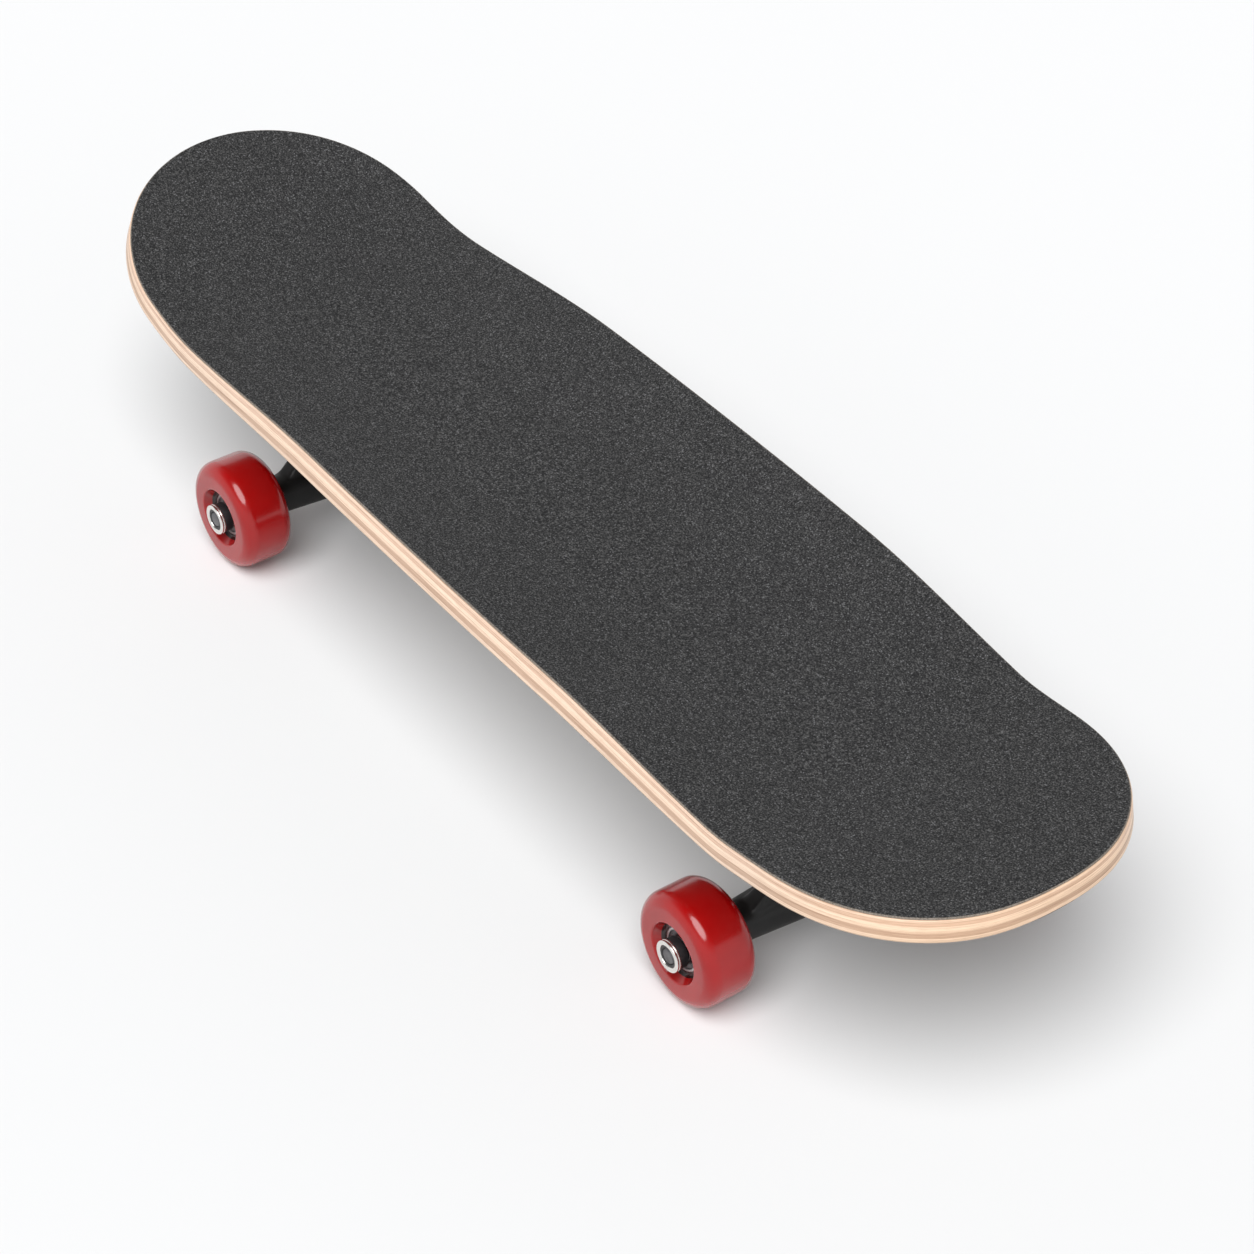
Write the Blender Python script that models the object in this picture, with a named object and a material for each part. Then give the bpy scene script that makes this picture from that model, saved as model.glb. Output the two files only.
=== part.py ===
"""A skateboard: a maple deck under grip tape, two kingpin trucks on riser pads, and four wheels on bearings.

Metres, +Z up. +X points to the nose and the four wheels stand on z = 0. Left is +Y, seen from the tail.
"""

from math import cos, pi, radians, sin

import bmesh
import bpy
from mathutils import Euler, Matrix, Vector

# Gap between pieces that touch on the real object.
GAP = 0.0003

# Deck. The outline is that of the grip tape, and lengths run along the bent board.
OUTLINE_LENGTH = 0.6740
OUTLINE_HALF_WIDTH = 0.0905
WIDTH_TAPER = 0.0225
WIDTH_BULGE = 0.1257
TOP_Z = 0.1092
TAPE_THICKNESS = 0.0008
DECK_THICKNESS = 0.0116
UPPER_EDGE_RADIUS = 0.0006
LOWER_EDGE_RADIUS = 0.0014
EDGE_ARC_STEPS = 2
FLAT_HALF_WIDTH = 0.0270
CONCAVE_MIDDLE = 0.0127
CONCAVE_ENDS = 0.0037
CONCAVE_POWER = 1.5
CONCAVE_FADE_BEFORE_KICK = 0.1107
CONCAVE_FADE_LENGTH = 0.1407
NOSE = {"round": 0.0871, "power": 2.33, "kick": 0.1245, "angle": radians(8.54), "radius": 0.1047}
TAIL = {"round": 0.0849, "power": 2.09, "kick": 0.1306, "angle": radians(20.5), "radius": 0.1974}
ROUND_STEPS = 6
MIDDLE_STEPS = 14
SLOPE_STEP = 0.0005

# Wheels, with 608 bearings, and where they stand.
WHEEL_RADIUS = 0.0281
WHEEL_HALF_WIDTH = 0.01376
TREAD_HALF_WIDTH = 0.00689
SHOULDER_DROP = 0.0066
SHOULDER_STEPS = 3
MOUTH_RADIUS = 0.01485
MOUTH_LIP = 0.0010
FRONT_AXLE_X = 0.1988
REAR_AXLE_X = -0.1825
WHEEL_Y = 0.0768
BEARING_RADIUS = 0.0110
BEARING_WIDTH = 0.0070
OUTER_RACE_BORE = 0.0096
INNER_RACE_RADIUS = 0.0060
BEARING_SPACING = 0.0036
BEARING_FIT = 0.0001

# Axle and what is threaded on it.
AXLE_RADIUS = 0.0040
AXLE_END_Y = 0.0931
SPEED_RING_RADIUS = 0.0056
SPEED_RING_THICKNESS = 0.0007
AXLE_NUT_RADIUS = 0.0078
AXLE_NUT_END_Y = 0.0936
AXLE_NUT_CHAMFER = 0.0006

# Riser pad and baseplate, seen from the axle's middle: +X outwards, to the board's nearer tip.
RISER_THICKNESS = 0.0076
PLATE_HALF_LENGTH = 0.0380
PLATE_HALF_WIDTH = 0.0275
PLATE_THICKNESS = 0.0065
PLATE_CORNER = 0.0090
PLATE_MIDDLE_X = -0.0030
BOLT_HALF_LENGTH = 0.02699
BOLT_HALF_WIDTH = 0.02064
BOLT_RADIUS = 0.0024
BOLT_HEAD_RADIUS = 0.0046
BOLT_HEAD_DEPTH = 0.0026
BOLT_NUT_FLAT = 0.0095
BOLT_NUT_HEIGHT = 0.0055
BOLT_TIP = 0.0015
KINGPIN_TOWER_FOOT = {"half_length": 0.0128, "half_width": 0.0150, "corner": 0.0060}
PIVOT_TOWER_FOOT = {"half_length": 0.0140, "half_width": 0.0130, "corner": 0.0060, "middle_x": 0.0205}
PIVOT_TOWER_WALL = 0.0026

# Steering: the middle of the hanger's ring, and the two axes that leave from it.
RING_X = -0.0285
RING_Z = 0.0090
STEERING_SLOPE = radians(36.5)
KINGPIN_LEAN = radians(20)
RING_RADIUS = 0.0160
RING_HALF_THICKNESS = 0.0045
SEAT_DEPTH = 0.0010
RING_BORE = 0.0070
KINGPIN_RADIUS = 0.0047
KINGPIN_HEAD_FLAT = 0.0143
KINGPIN_HEAD_HEIGHT = 0.0055
KINGPIN_HEAD_AT = 0.0450
KINGPIN_TIP_AT = -0.0285
KINGPIN_NUT_HEIGHT = 0.0080
BOARD_BUSHING = {"height": 0.0164, "ends": 0.0118, "middle": 0.0128}
ROAD_BUSHING = {"height": 0.0120, "ends": 0.0095, "middle": 0.0110}
WASHER_THICKNESS = 0.0015
PIVOT_TIP_AT = 0.0600
PIVOT_NECK_AT = 0.0400
PIVOT_NECK_RADIUS = 0.0070
PIVOT_TIP_RADIUS = 0.0058
PIVOT_TAPER = 0.0020
PIVOT_CUP_RADIUS = 0.0086
PIVOT_CUP_FROM = 0.0495
PIVOT_CUP_WALL = 0.0018

# Hanger beam, from its middle out to the collars.
BEAM_END_Y = 0.0612
COLLAR_END_Y = 0.0670
COLLAR_RADIUS = 0.0068
BEAM_MIDDLE = {"half_width": 0.0130, "half_height": 0.0118}
BEAM_END = {"half_width": 0.0088, "half_height": 0.0084}
BEAM_SQUARENESS = 2.8
BEAM_STEPS = 6
BEAM_SIDES = 16

# Corners of the webs that leave the beam: (x, half width, height).
YOKE_ROOT = (-0.0060, 0.0260, 0.0070)
NECK_ROOTS = ((-0.0040, 0.0560, 0.0040), (0.0070, 0.0560, 0.0040))
NECK_SHOULDERS = ((0.0000, 0.0400, 0.0190), (0.0070, 0.0400, 0.0190))

# Facets round a turned piece. A multiple of four lets a wheel stand on a flat.
WHEEL_FACETS = 24
BUSH_FACETS = 16
SMALL_FACETS = 12
HEX = 6
SMOOTH_ANGLE = radians(38)

# Each truck's place along the board, and which way it faces.
TRUCKS = {"front": (FRONT_AXLE_X, 1), "rear": (REAR_AXLE_X, -1)}
SIDES = {"left": 1, "right": -1}

MATERIALS = {
    "maple": ((0.66, 0.44, 0.27), 0.55, 0.0),
    "grip_tape": ((0.045, 0.045, 0.048), 0.95, 0.0),
    "urethane_red": ((0.50, 0.012, 0.012), 0.22, 0.0),
    "black_coated_alloy": ((0.012, 0.012, 0.013), 0.35, 0.6),
    "steel": ((0.55, 0.55, 0.56), 0.30, 1.0),
    "zinc_steel": ((0.70, 0.69, 0.67), 0.25, 1.0),
    "black_steel": ((0.02, 0.02, 0.022), 0.35, 0.8),
    "bushing_urethane": ((0.03, 0.03, 0.032), 0.45, 0.0),
    "riser_rubber": ((0.02, 0.02, 0.02), 0.7, 0.0),
}


# Tools


def clear_scene():
    for obj in list(bpy.data.objects):
        bpy.data.objects.remove(obj, do_unlink=True)


def make_materials():
    made = {}
    for name, (colour, roughness, metallic) in MATERIALS.items():
        material = bpy.data.materials.new(name)
        material.use_nodes = True
        shader = material.node_tree.nodes["Principled BSDF"]
        shader.inputs["Base Color"].default_value = (*colour, 1.0)
        shader.inputs["Roughness"].default_value = roughness
        shader.inputs["Metallic"].default_value = metallic
        material.diffuse_color = (*colour, 1.0)
        made[name] = material
    return made


def add_empty(name, parent, location, turn=(0, 0, 0)):
    empty = bpy.data.objects.new(name, None)
    bpy.context.scene.collection.objects.link(empty)
    empty.parent = parent
    empty.location = location
    empty.rotation_euler = turn
    return empty


def add_object(name, mesh, material, parent, location=(0, 0, 0), turn=(0, 0, 0)):
    obj = bpy.data.objects.new(name, mesh)
    bpy.context.scene.collection.objects.link(obj)
    if material and not mesh.materials:
        mesh.materials.append(material)
    obj.parent = parent
    obj.location = location
    obj.rotation_euler = turn
    return obj


def add_helper(name, mesh, parent, location=(0, 0, 0), turn=(0, 0, 0)):
    """An object that only shapes another one through a Boolean."""
    helper = add_object(name, mesh, None, parent, location, turn)
    helper.hide_render = True
    helper.display_type = "WIRE"
    return helper


def boolean(obj, helper, operation):
    modifier = obj.modifiers.new(operation.lower(), "BOOLEAN")
    modifier.operation = operation
    modifier.solver = "EXACT"
    modifier.object = helper


def finish_mesh(bm, name):
    bmesh.ops.recalc_face_normals(bm, faces=bm.faces)
    mesh = bpy.data.meshes.new(name)
    bm.to_mesh(mesh)
    bm.free()
    mesh.shade_smooth()
    mesh.set_sharp_from_angle(angle=SMOOTH_ANGLE)
    return mesh


def add_turned(bm, profile, facets, matrix=None):
    """Turns a closed (radius, height) profile about Z. Each facet touches the true round surface."""
    matrix = matrix or Matrix.Identity(4)
    outset = 1 / cos(pi / facets)
    columns = []
    on_axis = {}
    for index in range(facets):
        angle = 2 * pi * (index + 0.5) / facets
        column = []
        for place, (radius, height) in enumerate(profile):
            if radius == 0 and place in on_axis:
                column.append(on_axis[place])
                continue
            reach = radius * outset
            point = Vector((reach * cos(angle), reach * sin(angle), height))
            vertex = bm.verts.new(matrix @ point)
            column.append(vertex)
            if radius == 0:
                on_axis[place] = vertex
        columns.append(column)
    for index, column in enumerate(columns):
        after = columns[(index + 1) % facets]
        for place in range(len(profile)):
            following = (place + 1) % len(profile)
            corners = [column[place], column[following], after[following], after[place]]
            corners = list(dict.fromkeys(corners))
            if len(corners) > 2:
                bm.faces.new(corners)


def turned(name, profile, facets, matrix=None):
    bm = bmesh.new()
    add_turned(bm, profile, facets, matrix)
    return finish_mesh(bm, name)


def rod(radius, low, high):
    """The profile of a plain round bar."""
    return [(0, low), (radius, low), (radius, high), (0, high)]


def ring(bore, radius, low, high):
    """The profile of a plain ring."""
    return [(bore, low), (radius, low), (radius, high), (bore, high)]


def across_flats(size):
    """The radius that gives a six-sided turned piece this size across its flats."""
    return size / 2


def along(slope):
    """Turns local Z to a direction in the XZ plane, measured from +X towards +Z."""
    return Euler((0, pi / 2 - slope, 0))


def loft(name, loops):
    """Skins a row of closed loops and caps both ends."""
    bm = bmesh.new()
    rows = [[bm.verts.new(point) for point in loop] for loop in loops]
    for row, after in zip(rows, rows[1:]):
        for index in range(len(row)):
            following = (index + 1) % len(row)
            bm.faces.new((row[index], row[following], after[following], after[index]))
    bm.faces.new(rows[0])
    bm.faces.new(rows[-1])
    return finish_mesh(bm, name)


def hull(name, points):
    bm = bmesh.new()
    for point in points:
        bm.verts.new(point)
    bmesh.ops.convex_hull(bm, input=bm.verts)
    inside = [vertex for vertex in bm.verts if not vertex.link_faces]
    bmesh.ops.delete(bm, geom=inside, context="VERTS")
    return finish_mesh(bm, name)


def disc_points(centre, normal_slope, radius, facets=BUSH_FACETS):
    """Points round a disc whose normal lies in the XZ plane at this slope from +X."""
    across = Vector((-sin(normal_slope), 0, cos(normal_slope)))
    sideways = Vector((0, 1, 0))
    angles = [2 * pi * index / facets for index in range(facets)]
    return [centre + radius * (cos(a) * across + sin(a) * sideways) for a in angles]


def rounded_rectangle(half_length, half_width, corner, middle_x, z, corner_steps=3):
    points = []
    for quarter, (x_sign, y_sign) in enumerate(((1, 1), (-1, 1), (-1, -1), (1, -1))):
        centre = Vector((middle_x + x_sign * (half_length - corner), y_sign * (half_width - corner), z))
        for step in range(corner_steps + 1):
            angle = (quarter + step / corner_steps) * pi / 2
            points.append(centre + corner * Vector((cos(angle), sin(angle), 0)))
    return points


# Deck


def deck_profile(s):
    """Place and height of the board's middle line, at length s along it."""
    end = NOSE if s >= 0 else TAIL
    start = OUTLINE_LENGTH / 2 - end["kick"]
    run = max(abs(s) - start, 0)
    turn = min(run / end["radius"], end["angle"])
    straight = run - end["radius"] * turn
    x = min(abs(s), start) + end["radius"] * sin(turn) + straight * cos(turn)
    z = end["radius"] * (1 - cos(turn)) + straight * sin(turn)
    return (x if s >= 0 else -x), z


def concave(s, y):
    end = NOSE if s >= 0 else TAIL
    start = OUTLINE_LENGTH / 2 - end["kick"] - CONCAVE_FADE_BEFORE_KICK
    fade = min(max((abs(s) - start) / CONCAVE_FADE_LENGTH, 0), 1)
    fade = fade * fade * (3 - 2 * fade)
    depth = CONCAVE_MIDDLE + (CONCAVE_ENDS - CONCAVE_MIDDLE) * fade
    reach = max(abs(y) - FLAT_HALF_WIDTH, 0) / (OUTLINE_HALF_WIDTH - FLAT_HALF_WIDTH)
    return depth * reach**CONCAVE_POWER


def deck_top(s, y):
    x, z = deck_profile(s)
    return Vector((x, y, TOP_Z + z + concave(s, y)))


def deck_point(s, y, depth):
    """A point at this depth under the tape's upper face, straight into the board."""
    length = deck_top(s + SLOPE_STEP, y) - deck_top(s - SLOPE_STEP, y)
    width = deck_top(s, y + SLOPE_STEP) - deck_top(s, y - SLOPE_STEP)
    return deck_top(s, y) - depth * length.cross(width).normalized()


def half_width(s, plain):
    place = s / (OUTLINE_LENGTH / 2)
    return plain * (1 + WIDTH_TAPER * place - WIDTH_BULGE * place**2)


def outline_rows():
    """(s, half width) from the tail's tip to the nose's tip, without the tips themselves."""
    half = OUTLINE_LENGTH / 2
    tail_end = half - TAIL["round"]
    nose_end = half - NOSE["round"]
    rows = []
    for end, sign in ((TAIL, -1), (NOSE, 1)):
        curve = []
        for step in range(1, ROUND_STEPS + 1):
            angle = step / (ROUND_STEPS + 1) * pi / 2
            s = sign * (half - end["round"] * (1 - cos(angle) ** (2 / end["power"])))
            curve.append((s, half_width(s, OUTLINE_HALF_WIDTH * sin(angle) ** (2 / end["power"]))))
        rows.append(curve)
    middle = []
    for step in range(MIDDLE_STEPS + 1):
        s = -tail_end + (nose_end + tail_end) * step / MIDDLE_STEPS
        middle.append((s, half_width(s, OUTLINE_HALF_WIDTH)))
    return rows[0] + middle + rows[1][::-1]


def outline_normals(outline):
    """Outward directions in the flat pattern, one for each point of the closed outline."""
    normals = []
    for index in range(len(outline)):
        before = outline[index - 1]
        after = outline[(index + 1) % len(outline)]
        normal = Vector((after[1] - before[1], before[0] - after[0]))
        normals.append(normal.normalized())
    return normals


def board_mesh(name, edge):
    """A closed board. The edge lists (outward offset, depth) from its upper rim to its lower rim."""
    rows = outline_rows()
    half = OUTLINE_LENGTH / 2
    right = [(s, -width) for s, width in rows]
    left = [(s, width) for s, width in reversed(rows)]
    outline = [(-half, 0.0)] + right + [(half, 0.0)] + left
    normals = outline_normals(outline)
    bm = bmesh.new()
    rings = []
    for offset, depth in edge:
        loop = []
        for (s, y), normal in zip(outline, normals):
            loop.append(bm.verts.new(deck_point(s + offset * normal.x, y + offset * normal.y, depth)))
        rings.append(loop)
    for loop, below in zip(rings, rings[1:]):
        for index in range(len(loop)):
            following = (index + 1) % len(loop)
            bm.faces.new((loop[index], loop[following], below[following], below[index]))
    for loop, (offset, depth) in ((rings[0], edge[0]), (rings[-1], edge[-1])):
        fill_board_face(bm, loop, rows, offset, depth)
    return finish_mesh(bm, name)


def fill_board_face(bm, loop, rows, offset, depth):
    """Fills one broad face with rows of quads between the two long sides of its rim."""
    count = len(rows)
    tail_tip = loop[0]
    nose_tip = loop[count + 1]
    lines = []
    for index, (s, width) in enumerate(rows):
        rim = width + offset
        flat = min(FLAT_HALF_WIDTH, rim / 2)
        bend = (flat + rim) / 2
        inner = [bm.verts.new(deck_point(s, y, depth)) for y in (-bend, -flat, flat, bend)]
        lines.append([loop[1 + index]] + inner + [loop[-1 - index]])
    for line, after in zip(lines, lines[1:]):
        for place in range(len(line) - 1):
            bm.faces.new((line[place], after[place], after[place + 1], line[place + 1]))
    for tip, line in ((tail_tip, lines[0]), (nose_tip, lines[-1])):
        for place in range(len(line) - 1):
            bm.faces.new((tip, line[place], line[place + 1]))


def wood_edge():
    """The upper edge is filed flush with the tape, and the lower edge is rounded over."""
    top = TAPE_THICKNESS + GAP
    bottom = top + DECK_THICKNESS
    angles = [step / EDGE_ARC_STEPS * pi / 2 for step in range(EDGE_ARC_STEPS + 1)]
    upper = [(UPPER_EDGE_RADIUS * sin(a), top + UPPER_EDGE_RADIUS * (1 - cos(a))) for a in angles]
    start = UPPER_EDGE_RADIUS - LOWER_EDGE_RADIUS
    lower = [(start + LOWER_EDGE_RADIUS * sin(a), bottom - LOWER_EDGE_RADIUS * (1 - cos(a))) for a in angles]
    return upper + lower[::-1]


def deck_bottom_z():
    return TOP_Z - TAPE_THICKNESS - GAP - DECK_THICKNESS


def bolt_places():
    """(x, y) of the four bolts, from the axle's middle."""
    lengths = (PLATE_MIDDLE_X - BOLT_HALF_LENGTH, PLATE_MIDDLE_X + BOLT_HALF_LENGTH)
    return [(x, side * BOLT_HALF_WIDTH) for x in lengths for side in (1, -1)]


def bolt_hole_mesh(name, low, high, countersink):
    """Four holes as one cutter. A countersunk cutter's cone starts just under high."""
    bm = bmesh.new()
    radius = BOLT_RADIUS + GAP
    for x, y in bolt_places():
        if countersink:
            head = BOLT_HEAD_RADIUS + 2 * GAP
            cone = high - BOLT_HEAD_DEPTH
            clear = high + BOLT_HEAD_DEPTH
            profile = [(0, low), (radius, low), (radius, cone), (head, high), (head, clear), (0, clear)]
        else:
            profile = rod(radius, low, high)
        add_turned(bm, profile, SMALL_FACETS, Matrix.Translation((x, y, 0)))
    return finish_mesh(bm, name)


def make_deck(board, mounts, materials):
    deck = add_object("deck", board_mesh("deck", wood_edge()), materials["maple"], board)
    wood_top = TOP_Z - TAPE_THICKNESS - GAP - WHEEL_RADIUS
    below = deck_bottom_z() - WHEEL_RADIUS - DECK_THICKNESS
    cutter = bolt_hole_mesh("deck_bolt_holes", below, wood_top, True)
    for label, mount in mounts.items():
        boolean(deck, add_helper(f"{label}_deck_holes", cutter, mount), "DIFFERENCE")
    tape = board_mesh("grip_tape", [(-GAP, 0.0), (-GAP, TAPE_THICKNESS)])
    add_object("grip_tape", tape, materials["grip_tape"], board)


# Trucks. Every height in a truck is from its axle.


def plate_top_z():
    return deck_bottom_z() - WHEEL_RADIUS - 2 * GAP - RISER_THICKNESS


def ring_centre():
    return Vector((RING_X, 0, RING_Z))


def steering_point(distance):
    return ring_centre() + distance * Vector((cos(STEERING_SLOPE), 0, sin(STEERING_SLOPE)))


def kingpin_point(distance):
    return ring_centre() + distance * Vector((sin(KINGPIN_LEAN), 0, cos(KINGPIN_LEAN)))


def kingpin_turn():
    return along(pi / 2 - KINGPIN_LEAN)


def steering_turn():
    return along(STEERING_SLOPE)


def bushing_from(side):
    """Distance from the ring's middle to a bushing's near end, on either side."""
    return side * (RING_HALF_THICKNESS - SEAT_DEPTH + GAP)


def board_washer_from():
    return bushing_from(1) + BOARD_BUSHING["height"] + GAP


def boss_seat_at():
    return board_washer_from() + WASHER_THICKNESS + GAP


def road_washer_from():
    return bushing_from(-1) - ROAD_BUSHING["height"] - GAP


def kingpin_nut_from():
    return road_washer_from() - WASHER_THICKNESS - GAP


def plate_block_mesh(name, low, high):
    shape = (PLATE_HALF_LENGTH, PLATE_HALF_WIDTH, PLATE_CORNER, PLATE_MIDDLE_X)
    return loft(name, [rounded_rectangle(*shape, low), rounded_rectangle(*shape, high)])


def make_riser(label, mount, materials):
    low = plate_top_z() + GAP
    high = low + RISER_THICKNESS
    riser = add_object(
        f"{label}_riser_pad", plate_block_mesh("riser_pad", low, high), materials["riser_rubber"], mount
    )
    cutter = bolt_hole_mesh("riser_holes", low - RISER_THICKNESS, high + RISER_THICKNESS, False)
    boolean(riser, add_helper(f"{label}_riser_holes", cutter, mount), "DIFFERENCE")


def kingpin_tower_points():
    inside = plate_top_z() - PLATE_THICKNESS / 2
    distance = (inside - RING_Z) / cos(KINGPIN_LEAN)
    foot = kingpin_point(distance)
    slope = pi / 2 - KINGPIN_LEAN
    seat = disc_points(kingpin_point(boss_seat_at()), slope, BOARD_BUSHING["ends"])
    return seat + rounded_rectangle(**KINGPIN_TOWER_FOOT, middle_x=foot.x, z=inside)


def pivot_tower_points():
    inside = plate_top_z() - PLATE_THICKNESS / 2
    radius = PIVOT_CUP_RADIUS + PIVOT_TOWER_WALL
    points = rounded_rectangle(**PIVOT_TOWER_FOOT, z=inside)
    for distance in (PIVOT_CUP_FROM, PIVOT_TIP_AT + PIVOT_CUP_WALL + PIVOT_TOWER_WALL):
        points += disc_points(steering_point(distance), STEERING_SLOPE, radius)
    return points


def baseplate_cutter():
    """The bore and head recess for the kingpin, the socket for the pivot cup, and four bolt holes."""
    bm = bmesh.new()
    bore = KINGPIN_RADIUS + GAP
    recess = across_flats(KINGPIN_HEAD_FLAT) / cos(pi / HEX) + GAP
    low = boss_seat_at() - BOARD_BUSHING["height"] / 2
    floor = KINGPIN_HEAD_AT - GAP
    high = floor + 2 * PLATE_THICKNESS + RISER_THICKNESS
    stepped = [(0, low), (bore, low), (bore, floor), (recess, floor), (recess, high), (0, high)]
    place = Matrix.Translation(ring_centre())
    add_turned(bm, stepped, BUSH_FACETS, place @ kingpin_turn().to_matrix().to_4x4())
    socket_end = PIVOT_TIP_AT + PIVOT_CUP_WALL + 3 * GAP
    socket = rod(PIVOT_CUP_RADIUS + GAP, PIVOT_CUP_FROM - PIVOT_CUP_RADIUS, socket_end)
    add_turned(bm, socket, BUSH_FACETS, place @ steering_turn().to_matrix().to_4x4())
    top = plate_top_z()
    for x, y in bolt_places():
        hole = rod(BOLT_RADIUS + GAP, top - 2 * PLATE_THICKNESS, top + PLATE_THICKNESS)
        add_turned(bm, hole, SMALL_FACETS, Matrix.Translation((x, y, 0)))
    return finish_mesh(bm, "baseplate_cutter")


def make_baseplate(label, mount, materials):
    top = plate_top_z()
    plate = plate_block_mesh("baseplate", top - PLATE_THICKNESS, top)
    base = add_object(f"{label}_baseplate", plate, materials["black_coated_alloy"], mount)
    towers = {"kingpin_tower": kingpin_tower_points(), "pivot_tower": pivot_tower_points()}
    for name, points in towers.items():
        boolean(base, add_helper(f"{label}_{name}", hull(name, points), mount), "UNION")
    boolean(base, add_helper(f"{label}_baseplate_cutter", baseplate_cutter(), mount), "DIFFERENCE")


def make_pivot_cup(label, mount, materials):
    inner = PIVOT_TIP_RADIUS + GAP
    floor = PIVOT_TIP_AT + GAP
    end = floor + PIVOT_CUP_WALL
    start = PIVOT_CUP_FROM + GAP
    profile = [(0, floor), (inner, floor), (inner + GAP, start), (PIVOT_CUP_RADIUS, start)]
    profile += [(PIVOT_CUP_RADIUS, end), (0, end)]
    cup = turned("pivot_cup", profile, BUSH_FACETS)
    name = f"{label}_pivot_cup"
    add_object(name, cup, materials["bushing_urethane"], mount, ring_centre(), steering_turn())


def make_kingpin(label, mount, materials):
    place = {"parent": mount, "location": ring_centre(), "turn": kingpin_turn()}
    shank = turned("kingpin", rod(KINGPIN_RADIUS, KINGPIN_TIP_AT, KINGPIN_HEAD_AT + GAP), SMALL_FACETS)
    pin = add_object(f"{label}_kingpin", shank, materials["zinc_steel"], **place)
    head_top = KINGPIN_HEAD_AT + KINGPIN_HEAD_HEIGHT
    head = turned("kingpin_head", rod(across_flats(KINGPIN_HEAD_FLAT), KINGPIN_HEAD_AT, head_top), HEX)
    boolean(pin, add_helper(f"{label}_kingpin_head", head, **place), "UNION")
    nut_from = kingpin_nut_from()
    nut_ring = ring(
        KINGPIN_RADIUS + GAP, across_flats(KINGPIN_HEAD_FLAT), nut_from - KINGPIN_NUT_HEIGHT, nut_from
    )
    nut = turned("kingpin_nut", nut_ring, HEX)
    bore = KINGPIN_RADIUS + GAP
    add_object(f"{label}_kingpin_nut", nut, materials["zinc_steel"], **place)
    make_bushings(label, place, materials, bore)


def bushing_profile(bushing, bore, side):
    """A barrel-shaped bushing on the shank, growing away from the ring."""
    start = bushing_from(side)
    end = start + side * bushing["height"]
    middle = (start + end) / 2
    outside = [(bushing["ends"], start), (bushing["middle"], middle), (bushing["ends"], end)]
    return [(bore, start)] + outside + [(bore, end)]


def make_bushings(label, place, materials, bore):
    bushings = {"board_side": (BOARD_BUSHING, 1), "road_side": (ROAD_BUSHING, -1)}
    for name, (bushing, side) in bushings.items():
        mesh = turned(f"{name}_bushing", bushing_profile(bushing, bore, side), BUSH_FACETS)
        add_object(f"{label}_{name}_bushing", mesh, materials["bushing_urethane"], **place)
        low = board_washer_from() if side > 0 else road_washer_from() - WASHER_THICKNESS
        washer_ring = ring(bore, bushing["ends"], low, low + WASHER_THICKNESS)
        washer = turned(f"{name}_washer", washer_ring, SMALL_FACETS)
        add_object(f"{label}_{name}_washer", washer, materials["zinc_steel"], **place)


def beam_loop(y, half_width, half_height):
    """A rounded-square section of the hanger's beam."""
    loop = []
    for index in range(BEAM_SIDES):
        angle = 2 * pi * (index + 0.5) / BEAM_SIDES
        power = 2 / BEAM_SQUARENESS
        x = half_width * abs(cos(angle)) ** power * (1 if cos(angle) > 0 else -1)
        z = half_height * abs(sin(angle)) ** power * (1 if sin(angle) > 0 else -1)
        loop.append(Vector((x, y, z)))
    return loop


def beam_mesh():
    loops = []
    for step in range(-BEAM_STEPS, BEAM_STEPS + 1):
        share = abs(step) / BEAM_STEPS
        size = {}
        for key, middle in BEAM_MIDDLE.items():
            size[key] = middle + (BEAM_END[key] - middle) * share
        loops.append(beam_loop(BEAM_END_Y * step / BEAM_STEPS, **size))
    return loft("hanger", loops)


def yoke_points():
    """The web that carries the ring beside the beam."""
    slope = pi / 2 - KINGPIN_LEAN
    x, half_width, half_height = YOKE_ROOT
    points = []
    for side in (1, -1):
        points += disc_points(kingpin_point(side * RING_HALF_THICKNESS), slope, RING_RADIUS)
        points += [Vector((x, width * half_width, side * half_height)) for width in (1, -1)]
    return points


def neck_points():
    """The broad web that rises from both ends of the beam to the pivot."""
    points = disc_points(steering_point(PIVOT_NECK_AT), STEERING_SLOPE, PIVOT_NECK_RADIUS)
    for x, half_width, height in NECK_ROOTS + NECK_SHOULDERS:
        points += [Vector((x, width * half_width, height)) for width in (1, -1)]
    return points


def pivot_profile():
    start = PIVOT_NECK_AT - 3 * GAP
    shoulder = PIVOT_CUP_FROM - PIVOT_TAPER
    crown = PIVOT_TIP_AT - PIVOT_TIP_RADIUS / 2
    neck = PIVOT_NECK_RADIUS - GAP
    return [
        (0, start),
        (neck, start),
        (neck, shoulder - PIVOT_TAPER),
        (PIVOT_TIP_RADIUS, shoulder),
        (PIVOT_TIP_RADIUS, crown),
        (PIVOT_TIP_RADIUS / 2, PIVOT_TIP_AT),
        (0, PIVOT_TIP_AT),
    ]


def hanger_cutter():
    """The ring's bore with its two bushing seats, and the hole for the axle."""
    bm = bmesh.new()
    seat = RING_HALF_THICKNESS - SEAT_DEPTH
    board = BOARD_BUSHING["middle"] + 2 * GAP
    road = ROAD_BUSHING["middle"] + 2 * GAP
    reach = BOARD_BUSHING["height"]
    stepped = [(0, -reach), (road, -reach), (road, -seat), (RING_BORE, -seat)]
    stepped += [(RING_BORE, seat), (board, seat), (board, reach), (0, reach)]
    place = Matrix.Translation(ring_centre())
    add_turned(bm, stepped, BUSH_FACETS, place @ kingpin_turn().to_matrix().to_4x4())
    hole = rod(AXLE_RADIUS + GAP, -WHEEL_Y, WHEEL_Y)
    add_turned(bm, hole, SMALL_FACETS, Matrix.Rotation(pi / 2, 4, "X"))
    return finish_mesh(bm, "hanger_cutter")


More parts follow.
